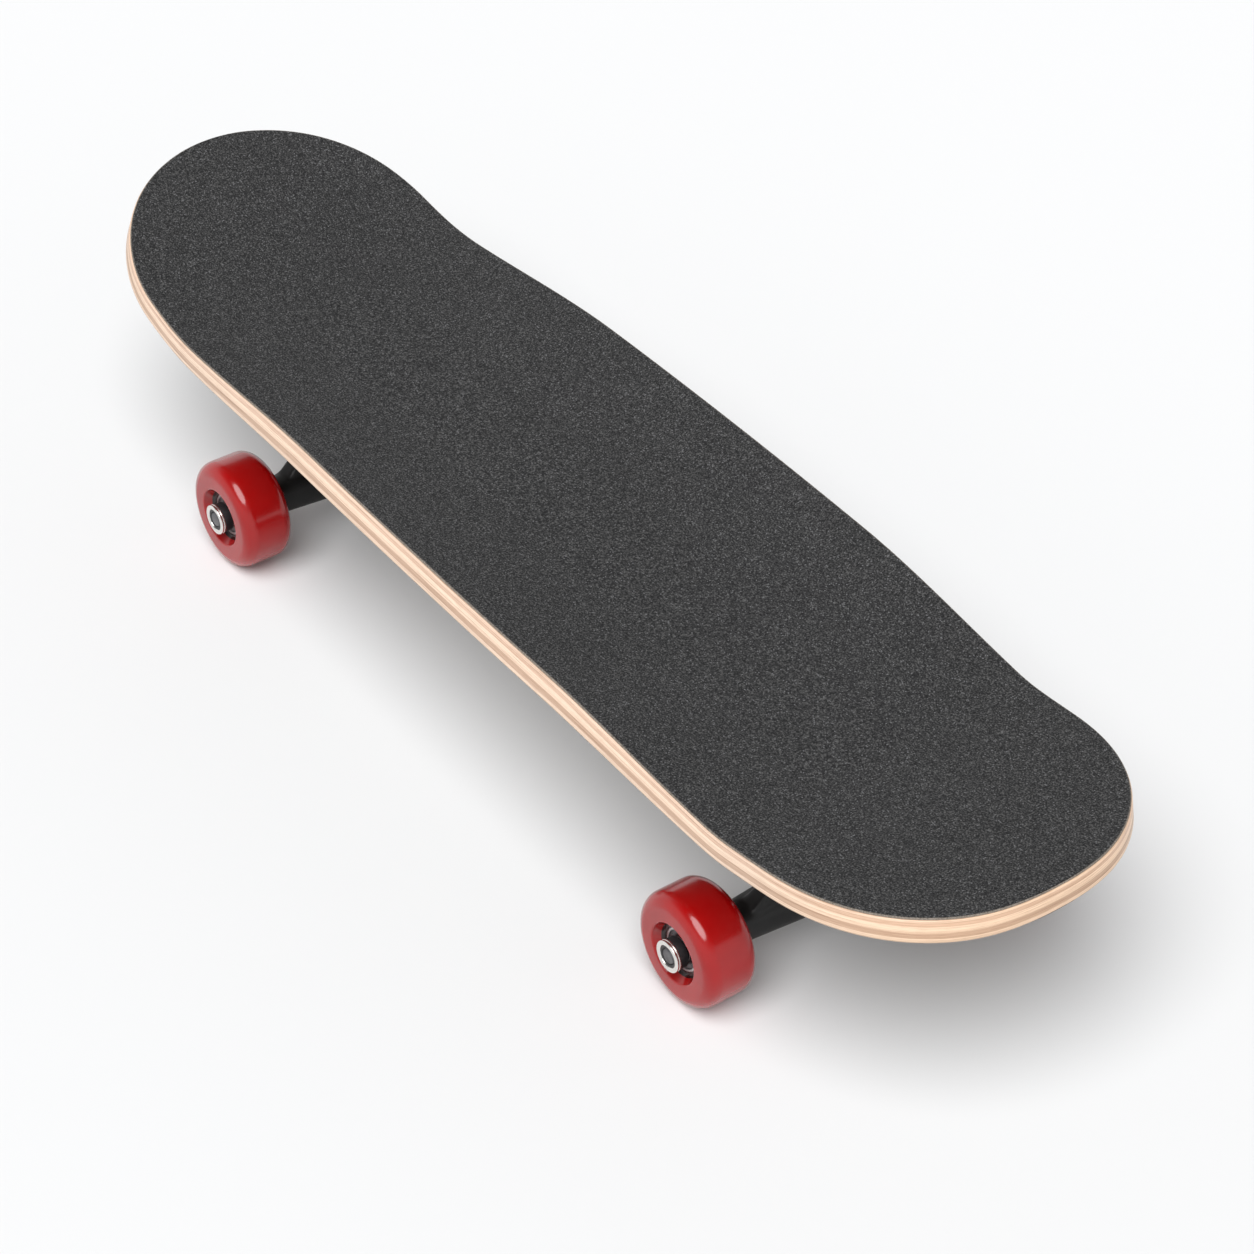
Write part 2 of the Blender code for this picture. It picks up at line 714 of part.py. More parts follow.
def make_hanger(label, steering, materials):
    """The steering empty lies on the joint's axis, at the ring's middle, so places count from there."""
    place = {"parent": steering, "location": -ring_centre()}
    hanger = add_object(f"{label}_hanger", beam_mesh(), materials["black_coated_alloy"], **place)
    pivot = turned("pivot", pivot_profile(), BUSH_FACETS)
    collar_start = BEAM_END_Y - COLLAR_RADIUS
    collar = turned("collar", rod(COLLAR_RADIUS, collar_start, COLLAR_END_Y), BUSH_FACETS)
    joined = [
        add_helper(f"{label}_yoke", hull("yoke", yoke_points()), **place),
        add_helper(f"{label}_neck", hull("neck", neck_points()), **place),
        add_helper(f"{label}_pivot", pivot, steering, (0, 0, 0), steering_turn()),
    ]
    for end in (1, -1):
        joined.append(add_helper(f"{label}_collar", collar, turn=(end * pi / 2, 0, 0), **place))
    for helper in joined:
        boolean(hanger, helper, "UNION")
    boolean(hanger, add_helper(f"{label}_hanger_cutter", hanger_cutter(), **place), "DIFFERENCE")
    axle = turned("axle", rod(AXLE_RADIUS, -AXLE_END_Y, AXLE_END_Y), SMALL_FACETS)
    add_object(f"{label}_axle", axle, materials["steel"], turn=(pi / 2, 0, 0), **place)


def make_bolts(label, mount, materials):
    """Each bolt carries its locknut. The two are joined where the thread holds them."""
    high = TOP_Z - TAPE_THICKNESS - 2 * GAP - WHEEL_RADIUS
    nut_top = plate_top_z() - PLATE_THICKNESS - GAP
    low = nut_top - BOLT_NUT_HEIGHT - BOLT_TIP
    cone = high - BOLT_HEAD_DEPTH
    profile = [(0, low), (BOLT_RADIUS, low), (BOLT_RADIUS, cone), (BOLT_HEAD_RADIUS, high), (0, high)]
    bolt = turned("mounting_bolt", profile, SMALL_FACETS)
    nut = turned("mounting_nut", rod(across_flats(BOLT_NUT_FLAT), nut_top - BOLT_NUT_HEIGHT, nut_top), HEX)
    for number, (x, y) in enumerate(bolt_places(), start=1):
        name = f"{label}_mounting_bolt_{number}"
        obj = add_object(name, bolt, materials["black_steel"], mount, (x, y, 0))
        boolean(obj, add_helper(f"{name}_nut", nut, mount, (x, y, 0)), "UNION")


# Wheels. A hub's local Z is its axle's axis, pointing outwards from the wheel's middle.


def wheel_profile():
    """The upper half from the tread to the bore, then its mirror image."""
    half = [(WHEEL_RADIUS, TREAD_HALF_WIDTH)]
    for step in range(1, SHOULDER_STEPS + 1):
        angle = step / SHOULDER_STEPS * pi / 2
        radius = WHEEL_RADIUS - SHOULDER_DROP * (1 - cos(angle))
        height = TREAD_HALF_WIDTH + (WHEEL_HALF_WIDTH - TREAD_HALF_WIDTH) * sin(angle)
        half.append((radius, height))
    half.append((MOUTH_RADIUS + MOUTH_LIP, WHEEL_HALF_WIDTH))
    half.append((MOUTH_RADIUS, WHEEL_HALF_WIDTH - MOUTH_LIP))
    half.append((BEARING_RADIUS, BEARING_SPACING / 2 + BEARING_WIDTH))
    half.append((BEARING_RADIUS, BEARING_SPACING / 2 - GAP))
    half.append((OUTER_RACE_BORE, BEARING_SPACING / 2 - GAP))
    return half + [(radius, -height) for radius, height in reversed(half)]


def make_wheel(label, side_name, facing, steering, materials):
    side = SIDES[side_name] * facing
    hub = add_empty(f"{label}_{side_name}_hub", steering, Vector((0, side * WHEEL_Y, 0)) - ring_centre())
    turn = (-side * pi / 2, 0, 0)
    prefix = f"{label}_{side_name}"

    def piece(name, profile, facets, material):
        mesh = turned(name, profile, facets)
        add_object(f"{prefix}_{name}", mesh, materials[material], hub, (0, 0, 0), turn)

    piece("wheel", wheel_profile(), WHEEL_FACETS, "urethane_red")
    shaft = AXLE_RADIUS + GAP
    outer = BEARING_RADIUS - GAP - BEARING_FIT
    for place, sign in (("outboard", 1), ("inboard", -1)):
        ends = sorted((sign * BEARING_SPACING / 2, sign * (BEARING_SPACING / 2 + BEARING_WIDTH)))
        piece(f"{place}_outer_race", ring(OUTER_RACE_BORE, outer, *ends), SMALL_FACETS, "steel")
        piece(f"{place}_inner_race", ring(shaft, INNER_RACE_RADIUS, *ends), SMALL_FACETS, "steel")
    ring_from = BEARING_SPACING / 2 + BEARING_WIDTH + GAP
    ring_to = ring_from + SPEED_RING_THICKNESS
    piece("speed_ring", ring(shaft, SPEED_RING_RADIUS, ring_from, ring_to), SMALL_FACETS, "black_steel")
    piece("axle_nut", axle_nut_profile(ring_to + GAP, shaft), BUSH_FACETS, "zinc_steel")


def axle_nut_profile(start, shaft):
    end = AXLE_NUT_END_Y - WHEEL_Y
    chamfered = AXLE_NUT_RADIUS - AXLE_NUT_CHAMFER
    return [
        (shaft, start),
        (AXLE_NUT_RADIUS, start),
        (AXLE_NUT_RADIUS, end - AXLE_NUT_CHAMFER),
        (chamfered, end),
        (shaft, end),
    ]


# Assembly


def centre_board(board):
    """Moves everything along X until the deck's two tips are equally far from the origin."""
    lengths = [vertex.co.x for vertex in bpy.data.objects["deck"].data.vertices]
    board.location.x = -(min(lengths) + max(lengths)) / 2


def main():
    clear_scene()
    materials = make_materials()
    board = add_empty("board", None, (0, 0, 0))
    mounts = {}
    for label, (x, facing) in TRUCKS.items():
        heading = 0 if facing > 0 else pi
        mounts[label] = add_empty(f"{label}_truck", board, (x, 0, WHEEL_RADIUS), (0, 0, heading))
    make_deck(board, mounts, materials)
    for label, mount in mounts.items():
        make_riser(label, mount, materials)
        make_baseplate(label, mount, materials)
        make_pivot_cup(label, mount, materials)
        make_kingpin(label, mount, materials)
        make_bolts(label, mount, materials)
        steering = add_empty(f"{label}_steering_axis", mount, ring_centre())
        make_hanger(label, steering, materials)
        for side_name in SIDES:
            make_wheel(label, side_name, TRUCKS[label][1], steering, materials)
    centre_board(board)
    bpy.context.view_layer.update()


main()
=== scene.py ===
"""Looks of the skateboard: a maple deck under grip tape, cast black trucks and glossy red wheels on bearings.

Every piece is built in the row frame: metres, +Z up, +X to the nose, left is +Y.
"""

from math import cos, floor, pi, radians, sin, sqrt, tan

import bmesh
import bpy
from mathutils import Euler, Matrix, Vector


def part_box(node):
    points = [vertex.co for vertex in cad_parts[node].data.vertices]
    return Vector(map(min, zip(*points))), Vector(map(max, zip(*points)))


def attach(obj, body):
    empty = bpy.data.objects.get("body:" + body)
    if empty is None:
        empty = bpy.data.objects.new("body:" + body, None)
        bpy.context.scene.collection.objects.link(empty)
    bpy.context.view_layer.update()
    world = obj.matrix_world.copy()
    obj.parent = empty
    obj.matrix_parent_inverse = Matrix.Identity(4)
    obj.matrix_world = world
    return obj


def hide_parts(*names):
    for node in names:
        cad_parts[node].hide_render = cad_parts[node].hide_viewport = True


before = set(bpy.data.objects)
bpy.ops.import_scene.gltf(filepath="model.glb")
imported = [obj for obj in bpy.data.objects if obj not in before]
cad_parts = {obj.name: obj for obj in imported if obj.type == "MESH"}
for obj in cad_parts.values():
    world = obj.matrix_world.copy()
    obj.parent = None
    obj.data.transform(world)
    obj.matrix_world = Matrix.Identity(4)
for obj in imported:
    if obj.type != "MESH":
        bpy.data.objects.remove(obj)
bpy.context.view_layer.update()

# Gap between pieces that touch on the real object.
GAP = 0.0003

# Deck, as in the CAD part. The outline is that of the grip tape, and lengths run along the bent board.
OUTLINE_LENGTH = 0.6740
OUTLINE_HALF_WIDTH = 0.0905
WIDTH_TAPER = 0.0225
WIDTH_BULGE = 0.1257
TOP_Z = 0.1092
TAPE_THICKNESS = 0.0008
DECK_THICKNESS = 0.0116
UPPER_EDGE_RADIUS = 0.0006
LOWER_EDGE_RADIUS = 0.0014
FLAT_HALF_WIDTH = 0.0270
CONCAVE_MIDDLE = 0.0127
CONCAVE_ENDS = 0.0037
CONCAVE_POWER = 1.5
CONCAVE_FADE_BEFORE_KICK = 0.1107
CONCAVE_FADE_LENGTH = 0.1407
NOSE = {"round": 0.0871, "power": 2.33, "kick": 0.1245, "angle": radians(8.54), "radius": 0.1047}
TAIL = {"round": 0.0849, "power": 2.09, "kick": 0.1306, "angle": radians(20.5), "radius": 0.1974}
SLOPE_STEP = 0.0005
ROUND_STEPS = 34
MIDDLE_STEPS = 110
ACROSS_STEPS = 24
EDGE_ARC_STEPS = 7
EDGE_BAND_STEPS = 4
TAPE_BEVEL = 0.00035
TAPE_REACH = 0.0002

# Wheels, bearings and axle ends, as in the CAD part, from a hub's middle outwards.
WHEEL_RADIUS = 0.0281
WHEEL_HALF_WIDTH = 0.01376
TREAD_HALF_WIDTH = 0.00689
SHOULDER_DROP = 0.0066
SHOULDER_STEPS = 16
MOUTH_RADIUS = 0.01485
MOUTH_LIP = 0.0010
MOUTH_STEPS = 4
RECESS_RADIUS = 0.0124
# Inside this radius the wheel's recess is painted near-black as shade.
SEAT_PAINTED_SHADE_RADIUS = 0.0132
FRONT_AXLE_X = 0.1988
WHEEL_Y = 0.0768
BEARING_RADIUS = 0.0110
BEARING_WIDTH = 0.0070
BEARING_SPACING = 0.0036
BALL_RADIUS = 0.00198
BALL_PITCH_RADIUS = 0.0075
BALLS = 7
OUTER_LAND_RADIUS = 0.0091
INNER_LAND_RADIUS = 0.0060
CAGE_RADII = (0.0068, 0.0082)
CAGE_LEVELS = (-0.0024, 0.0010)
CAGE_PLAY = 0.00012
GROOVE_PLAY = 1.04
GROOVE_STEPS = 8
DIMPLES = 6
DIMPLE_RING = 0.0081
DIMPLE_RADIUS = 0.00065
AXLE_RADIUS = 0.0040
AXLE_END_Y = 0.0931
AXLE_CHAMFER = 0.0006
SPEED_RING_RADIUS = 0.0056
SPEED_RING_THICKNESS = 0.0007
AXLE_NUT_RADIUS = 0.0078
AXLE_NUT_END_Y = 0.0936
COLLAR_LENGTH = 0.0024
COLLAR_BORE = 0.0054
SPACER_RADIUS = 0.0052

# Trucks, as in the CAD part, from the middle of the axle: +X outwards, to the board's nearer tip.
RISER_THICKNESS = 0.0076
RISER_EDGE = 0.0007
PLATE_HALF_LENGTH = 0.0380
PLATE_HALF_WIDTH = 0.0275
PLATE_THICKNESS = 0.0065
PLATE_CORNER = 0.0090
PLATE_MIDDLE_X = -0.0030
BOLT_HALF_LENGTH = 0.02699
BOLT_HALF_WIDTH = 0.02064
BOLT_RADIUS = 0.0024
BOLT_HEAD_RADIUS = 0.0046
BOLT_HEAD_DEPTH = 0.0026
BOLT_NUT_FLAT = 0.0095
BOLT_NUT_HEIGHT = 0.0055
BOLT_TIP = 0.0015
BOLT_NUT_CROWN = {"crown": 0.0015, "insert": 0.0030}
BOLT_THREAD_PAST_NUT = 0.0040
BOLT_THREAD = {"pitch": 0.0008, "depth": 0.00042}
KINGPIN_TOWER_FOOT = {"half_length": 0.0128, "half_width": 0.0150, "corner": 0.0060}
PIVOT_TOWER_FOOT = {"half_length": 0.0140, "half_width": 0.0130, "corner": 0.0060, "middle_x": 0.0205}
PIVOT_TOWER_WALL = 0.0026
RING_X = -0.0285
RING_Z = 0.0090
STEERING_SLOPE = radians(36.5)
KINGPIN_LEAN = radians(20)
RING_RADIUS = 0.0160
RING_HALF_THICKNESS = 0.0045
SEAT_DEPTH = 0.0010
RING_BORE = 0.0070
KINGPIN_RADIUS = 0.0047
KINGPIN_HEAD_FLAT = 0.0143
KINGPIN_HEAD_HEIGHT = 0.0055
KINGPIN_HEAD_AT = 0.0450
KINGPIN_TIP_AT = -0.0285
KINGPIN_NUT_HEIGHT = 0.0080
KINGPIN_NUT_CROWN = {"crown": 0.0022, "insert": 0.0056}
KINGPIN_THREAD_LENGTH = 0.0130
KINGPIN_THREAD = {"pitch": 0.0011, "depth": 0.0006}
BOARD_BUSHING = {"height": 0.0164, "ends": 0.0118, "middle": 0.0128}
BUSHING_STEPS = 14
BUSHING_FULLNESS = 0.8
BUSHING_EDGE = 0.0009
BUSHING_EDGE_STEPS = 1.5
ROAD_BUSHING = {"height": 0.0120, "ends": 0.0095, "middle": 0.0110}
WASHER_THICKNESS = 0.0015
WASHER_EDGE = 0.0006
PIVOT_TIP_AT = 0.0600
PIVOT_NECK_AT = 0.0400
PIVOT_NECK_RADIUS = 0.0070
PIVOT_TIP_RADIUS = 0.0058
PIVOT_TAPER = 0.0020
PIVOT_CUP_RADIUS = 0.0086
PIVOT_CUP_FROM = 0.0495
PIVOT_CUP_WALL = 0.0018
BEAM_END_Y = 0.0612
COLLAR_END_Y = 0.0670
COLLAR_RADIUS = 0.0068
BEAM_MIDDLE = {"half_width": 0.0130, "half_height": 0.0118}
BEAM_END = {"half_width": 0.0088, "half_height": 0.0084}
BEAM_SQUARENESS = 2.8
BEAM_SIDES = 40
BEAM_STEPS = 12

# Corners of the webs that leave the beam: (x, half width, height).
YOKE_ROOT = (-0.0060, 0.0260, 0.0070)
NECK_ROOTS = ((-0.0040, 0.0560, 0.0040), (0.0070, 0.0560, 0.0040))
NECK_SHOULDERS = ((0.0000, 0.0400, 0.0190), (0.0070, 0.0400, 0.0190))

# Gap round a shaft in a nut or ring that only scene.py shows.
SLIP = 0.0001

# How much the edges of small turned parts are rounded.
FINE_EDGE = 0.0002
PLAIN_EDGE = 0.0003
SOFT_EDGE = 0.0005

# Hexagons: where a chamfer starts as a share of the half width, and its slope.
CHAMFER_START = 0.96
CHAMFER_SLOPE = tan(radians(30))

# Share of the board's depth where each ply starts and ends, and its colour. Cross grain is darker; the lowest
# ply's darker colour is partly painted shade of the rounded lower edge.
PLIES = (
    (0.00, 0.10, (0.80, 0.60, 0.47)),
    (0.10, 0.27, (0.68, 0.475, 0.355)),
    (0.27, 0.40, (0.86, 0.675, 0.53)),
    (0.40, 0.53, (0.80, 0.61, 0.47)),
    (0.53, 0.76, (0.53, 0.365, 0.265)),
    (0.76, 0.90, (0.76, 0.585, 0.455)),
    # Lowest ply: partly painted shade, darker than its own wood.
    (0.90, 1.00, (0.56, 0.42, 0.32)),
)

# Other finishes: dark and light colour, range of roughness, grain size, depth of the bump, shader settings.
METAL = {"Metallic": 1.0}
POWDER_COAT = {"Specular IOR Level": 0.28, "Coat Weight": 0.06, "Coat Roughness": 0.2}
FINISHES = {
    "black_coated_alloy": (0.004, 0.008, (0.40, 0.52), 0.0007, 0.00005, POWDER_COAT),
    "steel": ((0.42, 0.42, 0.43), (0.60, 0.60, 0.60), (0.22, 0.36), 0.0009, 0.00001, METAL),
    "zinc_steel": ((0.66, 0.65, 0.62), (0.82, 0.81, 0.78), (0.16, 0.30), 0.0011, 0.00001, METAL),
    "black_steel": ((0.010, 0.010, 0.011), (0.030, 0.030, 0.032), (0.26, 0.42), 0.0009, 0.00002, {}),
    "bushing_urethane": ((0.014, 0.014, 0.015), (0.028, 0.028, 0.030), (0.38, 0.52), 0.0012, 0.00002, {}),
    "riser_rubber": (0.012, 0.030, (0.62, 0.85), 0.0006, 0.00004, {}),
    "shield": ((0.07, 0.072, 0.075), (0.14, 0.143, 0.148), (0.30, 0.44), 0.0008, 0.00001, METAL),
    "axle_end": ((0.07, 0.07, 0.075), (0.20, 0.20, 0.205), (0.28, 0.44), 0.0006, 0.00003, METAL),
    "nylon": ((0.60, 0.60, 0.57), (0.74, 0.74, 0.71), (0.42, 0.55), 0.0010, 0.00002, {}),
    "black_nylon": ((0.006, 0.006, 0.007), (0.014, 0.014, 0.015), (0.30, 0.42), 0.0010, 0.00002, {}),
}
TURNED = ("steel", "zinc_steel")
TURNING_MARKS = (1, 1, 14)

# The wood's edge is a warmer colour towards both tips: (distance from the middle, share).
WARM_ENDS = [(0.24, 0.0), (0.33, 1.0)]
PLY_BLEND = 0.012
GRIT_SCALE = 1250.0

# A point this near to the board's full depth is on its underside.
FACE_MARGIN = 0.00002

# Studio. The room's brightness goes by the sine of the height above the horizon.
FLOOR_COLOUR = (0.795, 0.80, 0.806, 1)
FLOOR_REACH = 60
KEY_STRENGTH = 3.12
KEY_FROM = (0.31, -0.45, 1.0)
KEY_ANGLE = radians(46)
ROOM_GLOW = [(0.0, 1.0), (0.34, 0.98), (0.60, 0.36), (0.85, 0.08), (1.0, 0.04)]

# Camera: where it looks from, how far away it is, and how far it is moved sideways and down.
CAMERA_AZIMUTH = radians(52.96)
CAMERA_ELEVATION = radians(39.23)
CAMERA_ROLL = radians(1.406)
CAMERA_DISTANCE = 1.70684
CAMERA_RIGHT = 0.02348
CAMERA_DOWN = 0.02679
CAMERA_AIM_Z = 0.072
LENS = 102.98
SENSOR_WIDTH = 36

# How finely round things are made, and how castings are smoothed.
WHEEL_FACETS = 128
ROUND_FACETS = 64
SMALL_FACETS = 36
CAGE_FACETS = 84
KINGPIN_FACETS = 96
LOCKNUT_FACETS = 72
CASTING_VOXEL = 0.0008
CASTING_PASSES = 14
SHARP_ANGLE = radians(40)

TRUCKS = ("front", "rear")
SIDES = {"left": 1, "right": -1}

scene = bpy.context.scene

# The CAD part centres the board on its tips, which moves everything this far along X.
BOARD_SHIFT = sum(corner.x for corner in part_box("front_axle")) / 2 - FRONT_AXLE_X


# Shaders. Each texture reads the "place" attribute, a point's own place in metres, and moves with its piece.


def add_node(tree, kind, inputs=None, **settings):
    """A shader node whose inputs are values or other nodes' sockets."""
    node = tree.nodes.new("ShaderNode" + kind)
    for key, value in settings.items():
        setattr(node, key, value)
    for key, value in (inputs or {}).items():
        if isinstance(value, bpy.types.NodeSocket):
            tree.links.new(value, node.inputs[key])
        else:
            node.inputs[key].default_value = value
    return node


def new_material(name, sockets):
    material = bpy.data.materials.new(name)
    material.use_nodes = True
    shader = material.node_tree.nodes["Principled BSDF"]
    for key, value in sockets.items():
        shader.inputs[key].default_value = value
    return material, material.node_tree, shader


def stretched(tree, vector, stretch):
    return add_node(tree, "VectorMath", {0: vector, 1: stretch}, operation="MULTIPLY").outputs[0]


def part_of(tree, vector, index):
    return add_node(tree, "SeparateXYZ", {0: vector}).outputs[index]


def place_of(tree, stretch=(1, 1, 1)):
    place = add_node(tree, "Attribute", attribute_name="place").outputs["Vector"]
    return stretched(tree, place, stretch)


def noise(tree, vector, scale, detail=3.0, roughness=0.5):
    inputs = {"Vector": vector, "Scale": scale, "Detail": detail, "Roughness": roughness}
    return add_node(tree, "TexNoise", inputs).outputs[0]


def ramp(tree, fac, stops):
    """Blends from one (position, value or colour) to the next."""
    node = add_node(tree, "ValToRGB", {0: fac})
    elements = node.color_ramp.elements
    while len(elements) < len(stops):
        elements.new(0.5)
    for element, (position, colour) in zip(elements, stops):
        element.position = position
        element.color = (*colour, 1) if isinstance(colour, tuple) else (colour, colour, colour, 1)
    return node.outputs[0]


def mix(tree, fac, a, b, blend="MIX"):
    node = add_node(tree, "Mix", data_type="RGBA", blend_type=blend)
    for index, value in ((0, fac), (6, a), (7, b)):
        if isinstance(value, bpy.types.NodeSocket):
            tree.links.new(value, node.inputs[index])
        elif isinstance(value, tuple):
            node.inputs[index].default_value = (*value, 1)
        else:
            node.inputs[index].default_value = value
    return node.outputs[2]


def math(tree, operation, a, b=0.0):
    return add_node(tree, "Math", {0: a, 1: b}, operation=operation).outputs[0]


def paint(tree, shader, colour, roughness, height, distance, strength=1.0):
    """Connects colour, roughness and a bump this deep to the shader."""
    bump = add_node(tree, "Bump", {"Height": height, "Distance": distance, "Strength": strength})
    for key, socket in (("Base Color", colour), ("Roughness", roughness), ("Normal", bump.outputs[0])):
        tree.links.new(socket, shader.inputs[key])


def speckled(name, dark, light, roughness, grain, bump, sockets):
    """A surface whose colour and roughness drift between two values, with a fine bump of that grain size."""
    material, tree, shader = new_material(name, sockets)
    place = place_of(tree, TURNING_MARKS if name in TURNED else (1, 1, 1))
    broad = noise(tree, place, 0.12 / grain, 4)
    fine = noise(tree, place, 1 / grain, 3, 0.65)
    both = mix(tree, 0.45, broad, fine)
    colour = ramp(tree, both, [(0.35, dark), (0.65, light)])
    paint(tree, shader, colour, ramp(tree, both, [(0.3, roughness[0]), (0.7, roughness[1])]), fine, bump)
    return material


def maple():
    """Plies on the edge, from the "board" UV map of length along the rim and depth. Stained underneath."""
    sockets = {"Coat Weight": 0.25, "Coat Roughness": 0.25, "Specular IOR Level": 0.4}
    material, tree, shader = new_material("maple_plies", sockets)
    board = add_node(tree, "UVMap", uv_map="board").outputs[0]
    deep = part_of(tree, board, 1)
    depth = math(tree, "DIVIDE", deep, DECK_THICKNESS)
    waver = noise(tree, stretched(tree, board, (30, 60, 1)), 1.0)
    wavy = math(tree, "ADD", depth, math(tree, "MULTIPLY", math(tree, "SUBTRACT", waver, 0.5), 0.05))
    stops = []
    for start, end, colour in PLIES:
        stops += [(start + PLY_BLEND, colour), (end - PLY_BLEND, colour)]
    edge = ramp(tree, wavy, stops)
    streaks = noise(tree, stretched(tree, board, (16, 2100, 1)), 1.0, 5, 0.7)
    pores = noise(tree, stretched(tree, board, (130, 3600, 1)), 1.0, 2, 0.6)
    grain = [(0.34, (0.62, 0.53, 0.46)), (0.46, (0.93, 0.91, 0.89)), (0.66, (1.10, 1.09, 1.08))]
    edge = mix(tree, 1.0, edge, ramp(tree, streaks, grain), "MULTIPLY")
    edge = mix(tree, 0.35, edge, ramp(tree, pores, [(0.34, (0.62, 0.50, 0.42)), (0.50, 1.0)]), "MULTIPLY")
    figure = noise(tree, place_of(tree, (5, 46, 46)), 1.0, 4, 0.55)
    fibres = noise(tree, place_of(tree, (60, 2600, 900)), 1.0, 4, 0.7)
    stain = [(0.30, (0.12, 0.098, 0.080)), (0.50, (0.20, 0.168, 0.140)), (0.72, (0.27, 0.232, 0.195))]
    worn = ramp(tree, fibres, [(0.30, (0.45, 0.42, 0.40)), (0.55, 1.0)])
    face = mix(tree, 0.6, ramp(tree, figure, stain), worn, "MULTIPLY")
    ends = ramp(tree, math(tree, "ABSOLUTE", part_of(tree, place_of(tree), 0)), WARM_ENDS)
    edge = mix(tree, ends, edge, mix(tree, 1.0, edge, (1.0, 0.95, 0.87), "MULTIPLY"))
    on_face = math(tree, "GREATER_THAN", deep, DECK_THICKNESS - FACE_MARGIN)
    roughness = ramp(tree, streaks, [(0.3, 0.55), (0.7, 0.38)])
    height = mix(tree, on_face, streaks, fibres)
    paint(tree, shader, mix(tree, on_face, edge, face), roughness, height, 0.00004, 0.8)
    return material


def grip_tape():
    """Charcoal grit: dark and paler grains, and a few bright facets. The cut rim is filed to a paler grey."""
    material, tree, shader = new_material("grip_tape_grit", {"Specular IOR Level": 0.25})
    place = place_of(tree)
    grains = noise(tree, place, GRIT_SCALE, 2, 0.65)
    clumps = noise(tree, place, 420, 3, 0.6)
    broad = noise(tree, place, 14, 3, 0.5)
    grit = [(0.36, (0.016, 0.016, 0.017)), (0.52, (0.038, 0.038, 0.039)), (0.66, (0.118, 0.117, 0.116))]
    colour = ramp(tree, grains, grit)
    colour = mix(tree, 0.55, colour, ramp(tree, clumps, [(0.35, 0.35), (0.65, 1.0)]), "MULTIPLY")
    colour = mix(tree, 0.5, colour, ramp(tree, broad, [(0.3, 0.85), (0.7, 1.0)]), "MULTIPLY")
    facets = add_node(tree, "TexVoronoi", {"Vector": place, "Scale": GRIT_SCALE})
    chance = part_of(tree, facets.outputs["Color"], 0)
    core = math(tree, "LESS_THAN", facets.outputs[0], 0.45)
    bright = math(tree, "MULTIPLY", math(tree, "GREATER_THAN", chance, 0.93), core)
    colour = mix(tree, bright, colour, (0.14, 0.14, 0.145))
    rim = add_node(tree, "Attribute", attribute_name="rim").outputs["Fac"]
    filed = ramp(tree, grains, [(0.3, (0.13, 0.11, 0.09)), (0.7, (0.30, 0.26, 0.22))])
    roughness = ramp(tree, grains, [(0.35, 0.95), (0.7, 0.6)])
    height = mix(tree, 0.5, grains, facets.outputs[0])
    paint(tree, shader, mix(tree, rim, colour, filed), roughness, height, 0.00018, 0.7)
    return material


def urethane():
    """Poured urethane: deep red, faintly cloudy and lightly scuffed. The bearing's seat in the recess is
    painted near-black as shade.
    """
    sockets = {"Coat Weight": 0.22, "Coat Roughness": 0.10, "IOR": 1.47}
    material, tree, shader = new_material("red_urethane", sockets)
    place = place_of(tree)
    cloud = noise(tree, place, 55, 4, 0.55)
    scuffs = noise(tree, place_of(tree, (900, 900, 260)), 1.0, 5, 0.7)
    colour = ramp(tree, cloud, [(0.3, (0.27, 0.0005, 0.0008)), (0.7, (0.33, 0.0009, 0.0012))])
    flat = stretched(tree, place, (1, 1, 0))
    radius = add_node(tree, "VectorMath", {0: flat}, operation="LENGTH").outputs["Value"]
    # Painted shade: inside the seat's radius the urethane is coloured near-black for the recess's shadow.
    seat = math(tree, "LESS_THAN", radius, SEAT_PAINTED_SHADE_RADIUS)
    colour = mix(tree, seat, colour, (0.012, 0.002, 0.002))
    paint(tree, shader, colour, ramp(tree, scuffs, [(0.35, 0.14), (0.72, 0.24)]), scuffs, 0.000006, 0.5)
    return material


def make_materials():
    materials = {"maple": maple(), "grip_tape": grip_tape(), "urethane_red": urethane()}
    for name, finish in FINISHES.items():
        materials[name] = speckled(name, *finish)
    return materials


# Meshes


def mesh_from(bm, name):
    bmesh.ops.recalc_face_normals(bm, faces=bm.faces)
    mesh = bpy.data.meshes.new(name)
    bm.to_mesh(mesh)
    bm.free()
    return mesh


def finish_mesh(mesh):
    """Makes it smooth apart from its real edges, and stores each point's own place."""
    mesh.shade_smooth()
    mesh.set_sharp_from_angle(angle=SHARP_ANGLE)
    place = mesh.attributes.new("place", "FLOAT_VECTOR", "POINT")
    flat = [value for vertex in mesh.vertices for value in vertex.co]
    place.data.foreach_set("vector", flat)
    return mesh


def rounded(corners, steps=4):
    """A closed (radius, height) profile whose corners are (radius, height, rounding)."""
    path = []
    for index, (radius, height, size) in enumerate(corners):
        here = Vector((radius, height))
        before = Vector(corners[index - 1][:2]) - here
        after = Vector(corners[(index + 1) % len(corners)][:2]) - here
        reach = min(size, before.length * 0.49, after.length * 0.49)
        if reach <= 0:
            path.append((radius, height))
            continue
        start = here + reach * before.normalized()
        end = here + reach * after.normalized()
        for step in range(steps + 1):
            share = step / steps
            point = (1 - share) ** 2 * start + 2 * share * (1 - share) * here + share**2 * end
            path.append((point.x, point.y))
    return path


